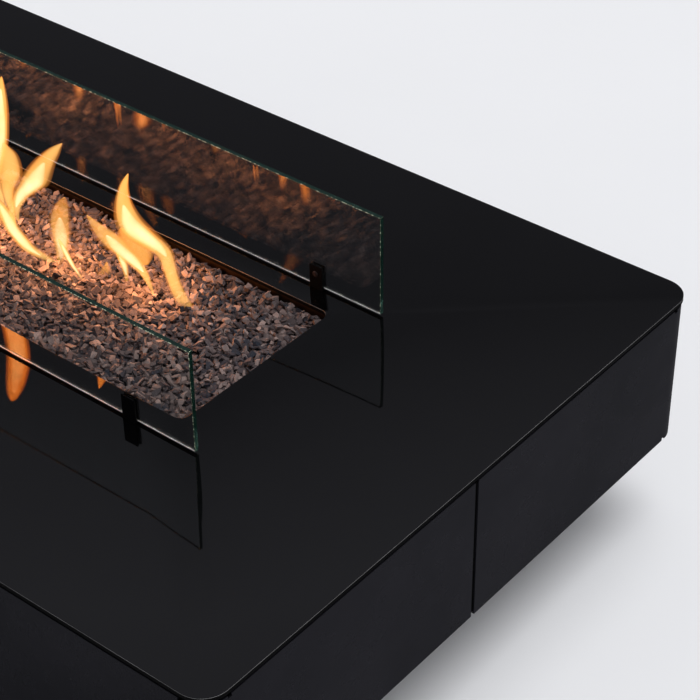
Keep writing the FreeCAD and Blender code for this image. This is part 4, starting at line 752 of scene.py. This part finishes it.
class Dress(Enum):
    """Finishes of the table's solids."""

    # EDGE: its second colour is the painted highlight along the top plate's upper arris and the trough rim
    EDGE = PaintedHighlightEdge("top_edge", (0.002, 0.002, 0.0022), (0.22, 0.215, 0.22))
    TOP = Coat("top_gloss", (0.0008, 0.0008, 0.0009), (0.0014, 0.0014, 0.0016), 0.02, 0.05, 500.0, 0.000002, 0.5)
    SHELL = Coat("shell_satin", (0.010, 0.010, 0.0135), (0.015, 0.0145, 0.019), 0.26, 0.36, 1100.0, 0.00001, 0.12)
    SEAM = Coat("seam_black", (0.001, 0.001, 0.001), (0.003, 0.003, 0.003), 0.6, 0.75, 900.0, 0.00002, 0.05)
    FRAME = Coat("frame_black", (0.012, 0.012, 0.013), (0.022, 0.022, 0.024), 0.5, 0.65, 800.0, 0.00003, 0.4)
    PLINTH = Coat("plinth_black", (0.010, 0.010, 0.011), (0.018, 0.018, 0.02), 0.5, 0.62, 700.0, 0.00004, 0.35)
    CLIP = Coat("clip_black", (0.0015, 0.0015, 0.002), (0.004, 0.004, 0.0045), 0.3, 0.42, 1600.0, 0.000006, 0.12)
    SCREW = Coat("clamp_screw", (0.012, 0.009, 0.009), (0.03, 0.018, 0.016), 0.25, 0.4, 1500.0, 0.000005, 0.5)
    ZINC = ZincSheet("galvanised", (0.38, 0.4, 0.42), (0.62, 0.64, 0.66))
    SHIELD = Metal("heat_shield", (0.5, 0.5, 0.5), (0.66, 0.66, 0.66), 0.3, 0.5, 40.0)
    FASTENER = Metal("zinc_fastener", (0.48, 0.48, 0.45), (0.66, 0.65, 0.6), 0.25, 0.4, 200.0)
    BRASS = Metal("brass", (0.6, 0.42, 0.17), (0.78, 0.58, 0.28), 0.2, 0.36, 160.0)
    BURNER = Metal("burner_steel", (0.36, 0.33, 0.3), (0.52, 0.49, 0.45), 0.3, 0.5, 90.0)
    TRAY = HeatedSteel("tray_steel", (0.045, 0.038, 0.03), (0.04, 0.024, 0.013))
    COPPER = Metal("copper", (0.62, 0.32, 0.2), (0.78, 0.45, 0.3), 0.22, 0.4, 160.0)
    PIPE = Metal("pipe_aluminium", (0.62, 0.62, 0.62), (0.78, 0.78, 0.78), 0.25, 0.4, 120.0)
    VALVE = Metal("valve_cast", (0.48, 0.48, 0.46), (0.64, 0.64, 0.62), 0.42, 0.6, 90.0, 0.00006)
    FOOT = Moulded("foot_rubber", (0.012, 0.012, 0.012), (0.03, 0.03, 0.03), 0.65, 0.8)
    SPACER = Moulded("spacer_rubber", (0.004, 0.004, 0.004), (0.009, 0.009, 0.009), 0.7, 0.85)
    PAD = Moulded("pad_rubber", (0.006, 0.006, 0.006), (0.014, 0.014, 0.014), 0.6, 0.8)
    CERAMIC = Moulded("ceramic_white", (0.7, 0.68, 0.62), (0.86, 0.85, 0.8), 0.35, 0.5)
    LEAD = Moulded("lead_jacket", (0.22, 0.02, 0.015), (0.34, 0.04, 0.03), 0.4, 0.55)
    KNOB = Moulded("knob_black", (0.01, 0.01, 0.01), (0.025, 0.025, 0.025), 0.4, 0.55)
    CASE = Moulded("igniter_case", (0.03, 0.03, 0.034), (0.06, 0.06, 0.066), 0.4, 0.6)
    BUTTON = Moulded("button_red", (0.4, 0.02, 0.015), (0.52, 0.04, 0.03), 0.15, 0.3, 2000.0, 0.000005)
    NYLON = Moulded("bush_nylon", (0.66, 0.66, 0.6), (0.8, 0.8, 0.75), 0.35, 0.5)
    MAGNET = Moulded("magnet_dark", (0.03, 0.03, 0.03), (0.06, 0.06, 0.06), 0.45, 0.6)
    BED = LavaRock("gravel_bed", (0.012, 0.010, 0.010), (0.02, 0.016, 0.016), (0.03, 0.024, 0.023))


@dataclass
class SolidSet:
    """A sub-assembly whose solids keep their shape and get a finish."""

    name: str
    finishes: dict[Dress, tuple[str, ...]]
    rounded: tuple[str, ...] = ()

    def build(self) -> None:
        """Dresses every solid of the set."""
        for dress, nodes in self.finishes.items():
            material = dress.value.material()
            for node in nodes:
                paint(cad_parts[node], material)
        for node in self.rounded:
            round_over(node)
        LOG.info("%s dressed", self.name)


TABLE_SETS = (
    SolidSet(
        "body",
        {
            Dress.TOP: ("top_plate",),
            Dress.SHELL: ("shell_near", "shell_far", "service_door"),
            Dress.SEAM: ("seam_plates",),
            Dress.SPACER: ("top_spacers",),
            Dress.FASTENER: ("flange_screws", "plinth_bolts", "clip_nuts", "hinge_pins", "door_strike",
                             "spindle_collar"),
        },
        ("top_plate", "shell_near", "shell_far", "service_door"),
    ),
    SolidSet(
        "frame and plinth",
        {
            Dress.FRAME: ("lower_rail_near", "lower_rail_far", "upper_rail_near", "upper_rail_far",
                          "lower_end_rails", "upper_end_rails", "corner_posts", "trough_bearers",
                          "floor_bearers", "hinge_brackets"),
            Dress.ZINC: ("floor_pan", "control_panel"),
            Dress.PLINTH: ("plinth_long_panels", "plinth_end_panels"),
            Dress.FOOT: ("foot_pads",),
        },
        ("foot_pads", "floor_pan"),
    ),
    SolidSet(
        "burner",
        {
            Dress.TRAY: ("burner_tray",),
            Dress.SHIELD: ("heat_shield",),
            Dress.BURNER: ("burner_tube_near", "burner_tube_far", "burner_crossover", "burner_saddles",
                           "feed_elbow", "pilot_bracket", "pilot_burner"),
            Dress.BED: ("gravel_bed",),
            Dress.CERAMIC: ("spark_electrode",),
            Dress.COPPER: ("thermocouple",),
            Dress.LEAD: ("igniter_lead",),
        },
        ("burner_tray", "burner_tube_near", "burner_tube_far", "feed_elbow", "pilot_burner",
         "spark_electrode", "thermocouple", "igniter_lead", "burner_crossover"),
    ),
    SolidSet(
        "gas controls",
        {
            Dress.BRASS: ("bulkhead_nuts", "gas_inlet", "valve_spindle"),
            Dress.PIPE: ("pilot_tube", "inlet_pipe", "burner_pipe"),
            Dress.VALVE: ("gas_valve",),
            Dress.KNOB: ("control_knob",),
            Dress.CASE: ("igniter_body",),
            Dress.BUTTON: ("igniter_button",),
            Dress.NYLON: ("hinge_bushes",),
            Dress.MAGNET: ("door_magnet",),
        },
        ("gas_inlet", "pilot_tube", "inlet_pipe", "burner_pipe", "control_knob", "igniter_body",
         "igniter_button", "gas_valve", "valve_spindle", "hinge_bushes", "bulkhead_nuts"),
    ),
    SolidSet(
        "glass guard",
        {
            Dress.CLIP: ("glass_clips_near", "glass_clips_far"),
            Dress.PAD: ("clip_pads",),
            Dress.SCREW: ("clamp_screws",),
        },
        ("clamp_screws",),
    ),
)


@dataclass
class TopPlate:
    """The gloss top, whose cut edges have a finish of their own: dark, with a painted highlight along the upper
    lip.
    """

    node: str = "top_plate"
    upright: float = 0.5

    def build(self) -> None:
        """Gives the plate's cut edges their finish."""
        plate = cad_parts[self.node]
        plate.data.materials.append(Dress.EDGE.value.material())
        for polygon in plate.data.polygons:
            if abs(polygon.normal.z) < self.upright:
                polygon.material_index = len(plate.data.materials) - 1
        LOG.info("%s edges dressed", self.node)


# The glass panes


class PaneFace(Enum):
    """Faces of a pane, in the order of its materials."""

    BROAD = 0
    EDGE = 1
    FOOT = 2
    BREAK = 3


@dataclass
class GlassPane:
    """A pane with broken edges, whose ground end and top edges differ from its clear faces."""

    name: str
    middle: float
    length: float = 0.962
    thickness: float = 0.006
    height: float = 0.140
    foot: float = 0.3434
    edge_break: float = 0.0005
    square: float = 0.9

    def build(self, finishes: dict[PaneFace, bpy.types.Material]) -> None:
        """Makes the pane and puts it in the place of the plain solid.

        Args:
            finishes: material of each kind of face.
        """
        clear_selection()
        bpy.ops.mesh.primitive_cube_add(size=1.0, location=(0, 0, 0))
        pane = bpy.context.object
        pane.name = f"{self.name}_ground"
        bpy.ops.object.mode_set(mode="EDIT")
        bpy.ops.mesh.select_all(action="SELECT")
        bpy.ops.transform.resize(value=(self.length, self.thickness, self.height), center_override=(0, 0, 0))
        bpy.ops.transform.translate(value=(0, self.middle, self.foot + self.height / 2))
        bpy.ops.mesh.bevel(offset=self.edge_break, segments=1, affect="EDGES")
        bpy.ops.object.mode_set(mode="OBJECT")
        for face in PaneFace:
            pane.data.materials.append(finishes[face])
        for polygon in pane.data.polygons:
            polygon.material_index = self.face_kind(polygon.normal).value
        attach(pane, self.name)
        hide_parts(self.name)
        LOG.info("%s ready", pane.name)

    def face_kind(self, normal: Vector) -> PaneFace:
        """Tells a face's kind from its direction.

        Args:
            normal: the face's normal.

        Returns:
            The kind.
        """
        if abs(normal.y) > self.square:
            return PaneFace.BROAD
        if normal.z < -self.square:
            return PaneFace.FOOT
        if max(abs(normal.x), normal.z) > self.square:
            return PaneFace.EDGE
        return PaneFace.BREAK


@dataclass
class GlassGuard:
    """The two panes and their four finishes."""

    panes: tuple[GlassPane, ...] = (GlassPane("glass_pane_far", 0.167), GlassPane("glass_pane_near", -0.167))
    glass: PaneGlass = PaneGlass("pane_glass", (0.965, 0.985, 0.975), (0.955, 0.98, 0.968))
    edge: GroundEdge = GroundEdge("pane_ground_edge", (0.009, 0.05, 0.035), (0.03, 0.105, 0.076), clear=0.7)
    foot: GroundEdge = GroundEdge("pane_ground_foot", (0.64, 0.6, 0.59), (0.72, 0.69, 0.68), clear=0.0)
    edge_break: GroundEdge = GroundEdge(
        "pane_edge_break", (0.045, 0.06, 0.04), (0.8, 0.85, 0.62), clear=0.1, chips=300.0, share=0.33
    )

    def build(self) -> None:
        """Makes both panes."""
        finishes = {
            PaneFace.BROAD: self.glass.material(),
            PaneFace.EDGE: self.edge.material(),
            PaneFace.FOOT: self.foot.material(),
            PaneFace.BREAK: self.edge_break.material(),
        }
        for pane in self.panes:
            pane.build(finishes)


# The stones


@dataclass
class LavaChips:
    """Loose broken chips that fill the trough up to just under the top."""

    half_length: float = 0.4215
    half_width: float = 0.1245
    pitch: float = 0.0069
    stray: float = 0.4
    layers: tuple[tuple[str, float, float], ...] = (
        ("lava_chips_low", 0.3212, 1.0), ("lava_chips_top", 0.3258, 0.8),
    )
    chip: float = 0.0048
    chip_sizes: tuple[float, float] = (0.72, 1.15)
    tip: float = 0.9
    unevenness: tuple[float, float] = (-0.0018, 0.0022)
    bank: float = 0.0035
    bank_width: float = 0.016
    pocket: tuple[float, float, float, float] = (-0.286, -0.214, 0.067, 0.103)
    shapes: int = 16
    cuts: int = 6
    cut_depths: tuple[float, float] = (0.5, 0.85)
    stretches: tuple[tuple[float, float], ...] = ((1.1, 1.6), (0.7, 0.95), (0.4, 0.7))
    finish: LavaRock = LavaRock(
        "lava_stones", (0.018, 0.021, 0.030), (0.090, 0.069, 0.069), (0.27, 0.20, 0.185)
    )
    draw: random.Random = field(default_factory=lambda: random.Random(11))

    def build(self) -> None:
        """Makes both layers and sets them on the gravel."""
        stock = [self.make_chip(index) for index in range(self.shapes)]
        material = self.finish.material()
        for name, level, share in self.layers:
            layer = self.scatter(stock, name, level, share)
            paint(layer, material)
            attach(layer, TABLE_BODY)
            if name == self.layers[-1][0]:
                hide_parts("lava_stones")
            LOG.info("%s: %d faces", name, len(layer.data.polygons))
        for piece in stock:
            bpy.data.objects.remove(piece)

    def make_chip(self, index: int) -> bpy.types.Object:
        """Breaks one chip from a block by cutting its corners off.

        Args:
            index: number of the shape.

        Returns:
            The chip, about one unit in radius.
        """
        clear_selection()
        bpy.ops.mesh.primitive_cube_add(size=1.7, location=(0, 0, 0))
        chip = bpy.context.object
        chip.name = f"chip_shape_{index}"
        bpy.ops.object.mode_set(mode="EDIT")
        for _ in range(self.cuts):
            facing = Vector([self.draw.uniform(-1, 1) for _ in range(3)]).normalized()
            cut = facing * self.draw.uniform(*self.cut_depths)
            bpy.ops.mesh.select_all(action="SELECT")
            bpy.ops.mesh.bisect(plane_co=cut, plane_no=facing, use_fill=True, clear_outer=True)
        bpy.ops.mesh.select_all(action="SELECT")
        stretch = tuple(self.draw.uniform(*span) for span in self.stretches)
        bpy.ops.transform.resize(value=stretch, center_override=(0, 0, 0))
        bpy.ops.object.mode_set(mode="OBJECT")
        return chip

    def scatter(self, stock: list[bpy.types.Object], name: str, level: float, share: float) -> bpy.types.Object:
        """Lays one layer of chips.

        Args:
            stock: the chip shapes.
            name: the layer's name.
            level: height of the chips' middles.
            share: part of the places that gets a chip.

        Returns:
            The layer as one piece.
        """
        pieces = []
        columns = round(2 * self.half_length / self.pitch)
        rows = round(2 * self.half_width / self.pitch)
        for column in range(columns + 1):
            for row in range(rows + 1):
                x = self.jitter((2 * column / columns - 1) * self.half_length, self.half_length)
                y = self.jitter((2 * row / rows - 1) * self.half_width, self.half_width)
                if self.draw.random() < share and not self.in_pocket(x, y):
                    pieces.append(self.lay_chip(stock, x, y, level + self.banked(x, y)))
        return join_pieces(pieces, name)

    def jitter(self, place: float, limit: float) -> float:
        """Shifts a place at random, but not past the limit."""
        return min(max(place + self.draw.uniform(-self.stray, self.stray) * self.pitch, -limit), limit)

    def banked(self, x: float, y: float) -> float:
        """Gives the extra height of chips that lean on the trough's walls."""
        from_wall = min(self.half_length - abs(x), self.half_width - abs(y))
        return self.bank * max(1.0 - from_wall / self.bank_width, 0.0)

    def in_pocket(self, x: float, y: float) -> bool:
        """Says whether a place lies over the pilot's space in the gravel."""
        x0, x1, y0, y1 = self.pocket
        return x0 < x < x1 and y0 < y < y1

    def lay_chip(self, stock: list[bpy.types.Object], x: float, y: float, level: float) -> bpy.types.Object:
        """Copies a chip, turned at random.

        Args:
            stock: the chip shapes.
            x: place along the table.
            y: place across the table.
            level: height of the chip's middle.

        Returns:
            The copy, with its own mesh and tone.
        """
        source = self.draw.choice(stock)
        mesh = source.data.copy()
        tone = min(max(self.draw.gauss(0.5, 0.2), 0.0), 1.0)
        attribute = mesh.attributes.new("chip_tone", "FLOAT", "POINT")
        attribute.data.foreach_set("value", [tone] * len(mesh.vertices))
        size = self.chip * self.draw.uniform(*self.chip_sizes)
        turn = Matrix.Rotation(self.draw.uniform(0, math.tau), 4, "Z")
        roll, pitch = (Matrix.Rotation(self.draw.uniform(-self.tip, self.tip), 4, axis) for axis in "XY")
        place = Matrix.Translation((x, y, level + self.draw.uniform(*self.unevenness)))
        mesh.transform(place @ turn @ (roll @ pitch) @ Matrix.Scale(size, 4))
        piece = bpy.data.objects.new("chip", mesh)
        bpy.context.scene.collection.objects.link(piece)
        return piece


# The flames


@dataclass
class Tongue:
    """One tongue of flame. Its heart is the run of stations with a bright core, and (0, 0) means none.

    A station gives the sideways shift, height, half width and forward lean of a ring, in millimetres.
    """

    foot: tuple[float, float]
    stations: tuple[Station, ...]
    facing: float = VIEW_AZIMUTH
    thickness: float = 0.62
    hot: bool = True
    heart: tuple[int, int] = (1, -1)


@dataclass
class Flames:
    """Gas flames above the stones, each a nest of three glowing skins."""

    tongues: tuple[Tongue, ...] = ()
    haze_layers: tuple[float, ...] = (1.0, 0.82, 0.62)
    skins: tuple[tuple[float, FlameGlow], ...] = (
        (1.12, FlameGlow("flame_edge", (1.0, 0.46, 0.10), (0.85, 0.22, 0.03), cover=0.3, strength=1.3)),
        (0.88, FlameGlow("flame_body", (1.0, 0.62, 0.20), (1.0, 0.40, 0.07), cover=0.33, strength=2.15)),
        (0.74, FlameGlow(
            "flame_heart", (1.0, 0.88, 0.62), (1.0, 0.74, 0.40), cover=0.35, strength=2.6, softness=2.8)),
    )
    ring_points: int = 12
    smoothing: int = 2

    def build(self) -> None:
        """Makes the three skins of all tongues."""
        outermost, innermost = self.skins[0][0], self.skins[-1][0]
        for scale, finish in self.skins:
            tongues = [tongue for tongue in self.tongues if tongue.hot or scale == outermost]
            if scale == innermost:
                tongues = [self.heart_of(tongue) for tongue in tongues if any(tongue.heart)]
            pieces = []
            for tongue in tongues:
                layers = (1.0,) if tongue.hot else self.haze_layers
                pieces += [self.make_tongue(tongue, scale * layer) for layer in layers]
            skin = join_pieces(pieces, finish.name)
            bpy.ops.object.shade_smooth()
            paint(skin, finish.material())
            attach(skin, TABLE_BODY)
            LOG.info("%s: %d faces", finish.name, len(skin.data.polygons))

    def heart_of(self, tongue: Tongue) -> Tongue:
        """Cuts a tongue's bright heart out of it, with pointed ends.

        Args:
            tongue: the whole tongue.

        Returns:
            The stations of its heart, as a tongue.
        """
        part = tongue.stations[slice(*tongue.heart)]
        stations = []
        for index, (shift, height, width, lean) in enumerate(part):
            swell = math.sin(math.pi * (index + 0.15) / (len(part) - 0.7)) ** 0.6
            stations.append((shift, height, width * swell, lean))
        return replace(tongue, stations=tuple(stations))

    def make_tongue(self, tongue: Tongue, scale: float) -> bpy.types.Object:
        """Draws a tongue upwards from a ring, station by station.

        Args:
            tongue: its shape.
            scale: share of its full width.

        Returns:
            The finished skin.
        """
        clear_selection()
        shift, height, width, lean = tongue.stations[0]
        start = Vector((shift, -lean, height)) / MM_PER_METRE
        radius = 1 / MM_PER_METRE * width * scale
        bpy.ops.mesh.primitive_circle_add(
            vertices=self.ring_points, radius=radius, fill_type="NGON", location=(0, 0, 0)
        )
        piece = bpy.context.object
        bpy.ops.object.mode_set(mode="EDIT")
        bpy.ops.mesh.select_all(action="SELECT")
        bpy.ops.transform.resize(value=(1, tongue.thickness, 1), center_override=(0, 0, 0))
        bpy.ops.transform.translate(value=start)
        centre = start
        for shift, height, next_width, lean in tongue.stations[1:]:
            place = Vector((shift, -lean, height)) / MM_PER_METRE
            bpy.ops.mesh.extrude_region_move(TRANSFORM_OT_translate={"value": place - centre})
            ratio = next_width / width
            bpy.ops.transform.resize(value=(ratio, ratio, 1), center_override=place)
            centre, width = place, next_width
        bpy.ops.mesh.select_all(action="SELECT")
        bpy.ops.mesh.normals_make_consistent(inside=False)
        bpy.ops.object.mode_set(mode="OBJECT")
        smooth = piece.modifiers.new("smooth", "SUBSURF")
        smooth.levels = self.smoothing
        smooth.render_levels = self.smoothing
        bpy.ops.object.modifier_apply(modifier=smooth.name)
        piece.rotation_euler = (0, 0, math.radians(tongue.facing))
        piece.location = (tongue.foot[0], tongue.foot[1], 0.0)
        settle(piece)
        return piece


TONGUES = (
    Tongue((0.268, 0.048), (
        (2, 322, 8.7, 0), (-5, 334, 10.4, 0), (-11, 347, 9.5, -1), (-16, 366, 8.7, -1), (-20, 386, 9.4, -2),
        (-22, 398, 10.2, -3), (-28, 408, 13.9, -4), (-38, 417, 17.4, -5), (-49, 426, 20.2, -6),
        (-57, 434, 20.8, -8), (-63, 444, 18.6, -9), (-67, 453, 15.7, -11), (-71, 467, 11, -17),
        (-71, 481, 7.2, -23), (-69, 490, 5, -29), (-64, 499, 0.6, -36)), heart=(5, 13)),
    Tongue((0.217, 0.041), (
        (0, 325, 1.9, 1), (-3, 338, 3.2, 1), (-6, 349, 4.6, 2), (-10, 361, 6.5, 3), (-15, 370, 9.1, 4),
        (-21, 379, 12.1, 5), (-28, 389, 13.8, 6), (-37, 401, 14.8, 9), (-43, 413, 16.3, 12),
        (-50, 427, 15.5, 16), (-57, 440, 10.9, 22), (-64, 455, 5.5, 28), (-69, 468, 0.8, 34)), heart=(3, 10)),
    Tongue((0.17, 0.039), (
        (2, 322, 1.6, 0), (2, 335, 3.4, 0), (1, 346, 4.7, 0), (-1, 356, 5.5, 0), (-5, 365, 4, 0),
        (-8, 372, 1, 0))),
    Tongue((0.13, 0.03), (
        (7, 320, 11.6, 0), (8, 325, 10, 0), (10, 331, 7.4, 0), (12, 338, 3.6, 0), (13, 344, 0.8, 0)), hot=False),
    Tongue((0.073, 0.019), (
        (0, 320, 3.4, 0), (2, 328, 6.1, 1), (4, 340, 8.4, 2), (6, 354, 10.2, 4), (6, 369, 12.9, 6),
        (7, 387, 14.4, 12), (9, 406, 14, 19), (13, 425, 11.5, 27), (18, 442, 7, 37),
        (22, 453, 1, 46)), heart=(1, 7)),
    Tongue((0.127, 0.008), (
        (0, 324, 1.1, 0), (-3, 331, 2.3, 0), (-10, 344, 3.2, 0), (-15, 357, 3.6, 0), (-19, 369, 4.4, 0),
        (-23, 381, 3, 0), (-26, 390, 0.8, 0))),
    Tongue((0.072, 0.015), (
        (1, 322, 2.2, 0), (-7, 329, 6.3, 0), (-19, 336, 9.8, 0), (-31, 345, 10.9, 0), (-38, 354, 10.4, 0),
        (-45, 367, 10.2, 0), (-51, 377, 10, 0), (-55, 391, 10, 0), (-60, 406, 9.4, 0), (-66, 420, 5.3, 0),
        (-72, 430, 1, 0)), heart=(2, 10)),
    Tongue((-0.035, 0.045), (
        (4, 328, 2.2, 0), (3, 338, 3, 0), (3, 350, 6.4, 0), (7, 361, 10.3, 0), (12, 369, 13, 0),
        (20, 377, 18, 0), (28, 385, 21.3, 0), (32, 394, 21, 0), (39, 408, 18.3, 0), (46, 420, 15.8, 0),
        (56, 433, 12.4, 0), (64, 443, 7, 0), (72, 448, 0.8, 0)), heart=(2, 10)),
    Tongue((-0.027, 0.009), (
        (20, 322, 3, 0), (20, 350, 4, 0), (20, 371, 4.5, 0), (18, 384, 5.5, 0), (18, 401, 9, 0),
        (22, 414, 14.3, 0), (24, 424, 16.3, 0), (24, 440, 15, 0), (24, 454, 12, 0), (22, 463, 5, 0),
        (20, 470, 1, 0)), heart=(0, 0)),
    Tongue((-0.105, -0.035), (
        (0, 322, 6, 0), (6, 348, 10, 0), (10, 376, 13, 0), (6, 402, 12, 0), (-2, 426, 9, 0), (-8, 446, 5, 0),
        (-10, 462, 0.8, 0)), facing=20),
    Tongue((-0.16, 0.04), (
        (0, 322, 4, 0), (-7, 344, 9, 0), (-10, 368, 13, 0), (-6, 394, 14, 0), (4, 418, 11, 0), (14, 440, 7, 0),
        (20, 458, 0.8, 0)), facing=60),
    Tongue((-0.235, -0.03), (
        (0, 322, 3, 0), (8, 342, 7, 0), (18, 362, 10, 0), (22, 386, 9, 0), (18, 408, 5, 0),
        (14, 424, 0.8, 0)), facing=30),
    Tongue((-0.29, 0.02), (
        (0, 322, 5, 0), (-4, 346, 9, 0), (0, 372, 11, 0), (8, 396, 9, 0), (12, 418, 5, 0),
        (12, 434, 0.8, 0)), facing=50),
    Tongue((-0.33, -0.045), (
        (0, 322, 4, 0), (4, 338, 6, 0), (6, 356, 6, 0), (4, 372, 3.5, 0), (2, 384, 0.8, 0)), facing=10),
    Tongue((0.01, -0.048), (
        (0, 322, 3, 0), (-5, 336, 6, 0), (-7, 352, 7.5, 0), (-3, 370, 5, 0), (2, 386, 0.8, 0))),
    Tongue((-0.025, -0.01), (
        (0, 322, 5, 0), (4, 345, 9, 3), (12, 370, 12, 10), (24, 400, 15, 25), (33, 425, 16, 40),
        (38, 450, 17, 57), (38, 475, 16, 84), (35, 492, 14, 110), (32, 502, 9, 128), (31, 507, 2, 136))),
    Tongue((0.222, 0.044), (
        (-13, 370, 3.5, 0), (-14, 378, 9, 0), (-17, 387, 15, 0), (-21, 396, 19.5, 0), (-26, 406, 20, 0),
        (-30, 414, 16, 0), (-35, 421, 9, 0), (-39, 427, 1.5, 0)), thickness=0.45, hot=False),
    Tongue((-0.06, 0.06), (
        (-9, 322, 2, 0), (-9, 345, 3, 0), (-12, 368, 4.6, 0), (-12, 390, 7, 0), (-8, 412, 10.4, 0),
        (-5, 430, 12.8, -5), (-4, 447, 12.8, -13), (-3, 462, 12, -22), (-2, 476, 10, -32), (-1, 490, 6, -42),
        (0, 502, 1, -52)), heart=(2, 10)),
)


def main() -> None:
    """Builds the studio and then the table, piece by piece."""
    logging.basicConfig(level=logging.INFO, format="%(message)s")
    Studio().build()
    for solids in TABLE_SETS:
        solids.build()
    TopPlate().build()
    GlassGuard().build()
    LavaChips().build()
    Flames(TONGUES).build()


if __name__ == "__main__":
    main()
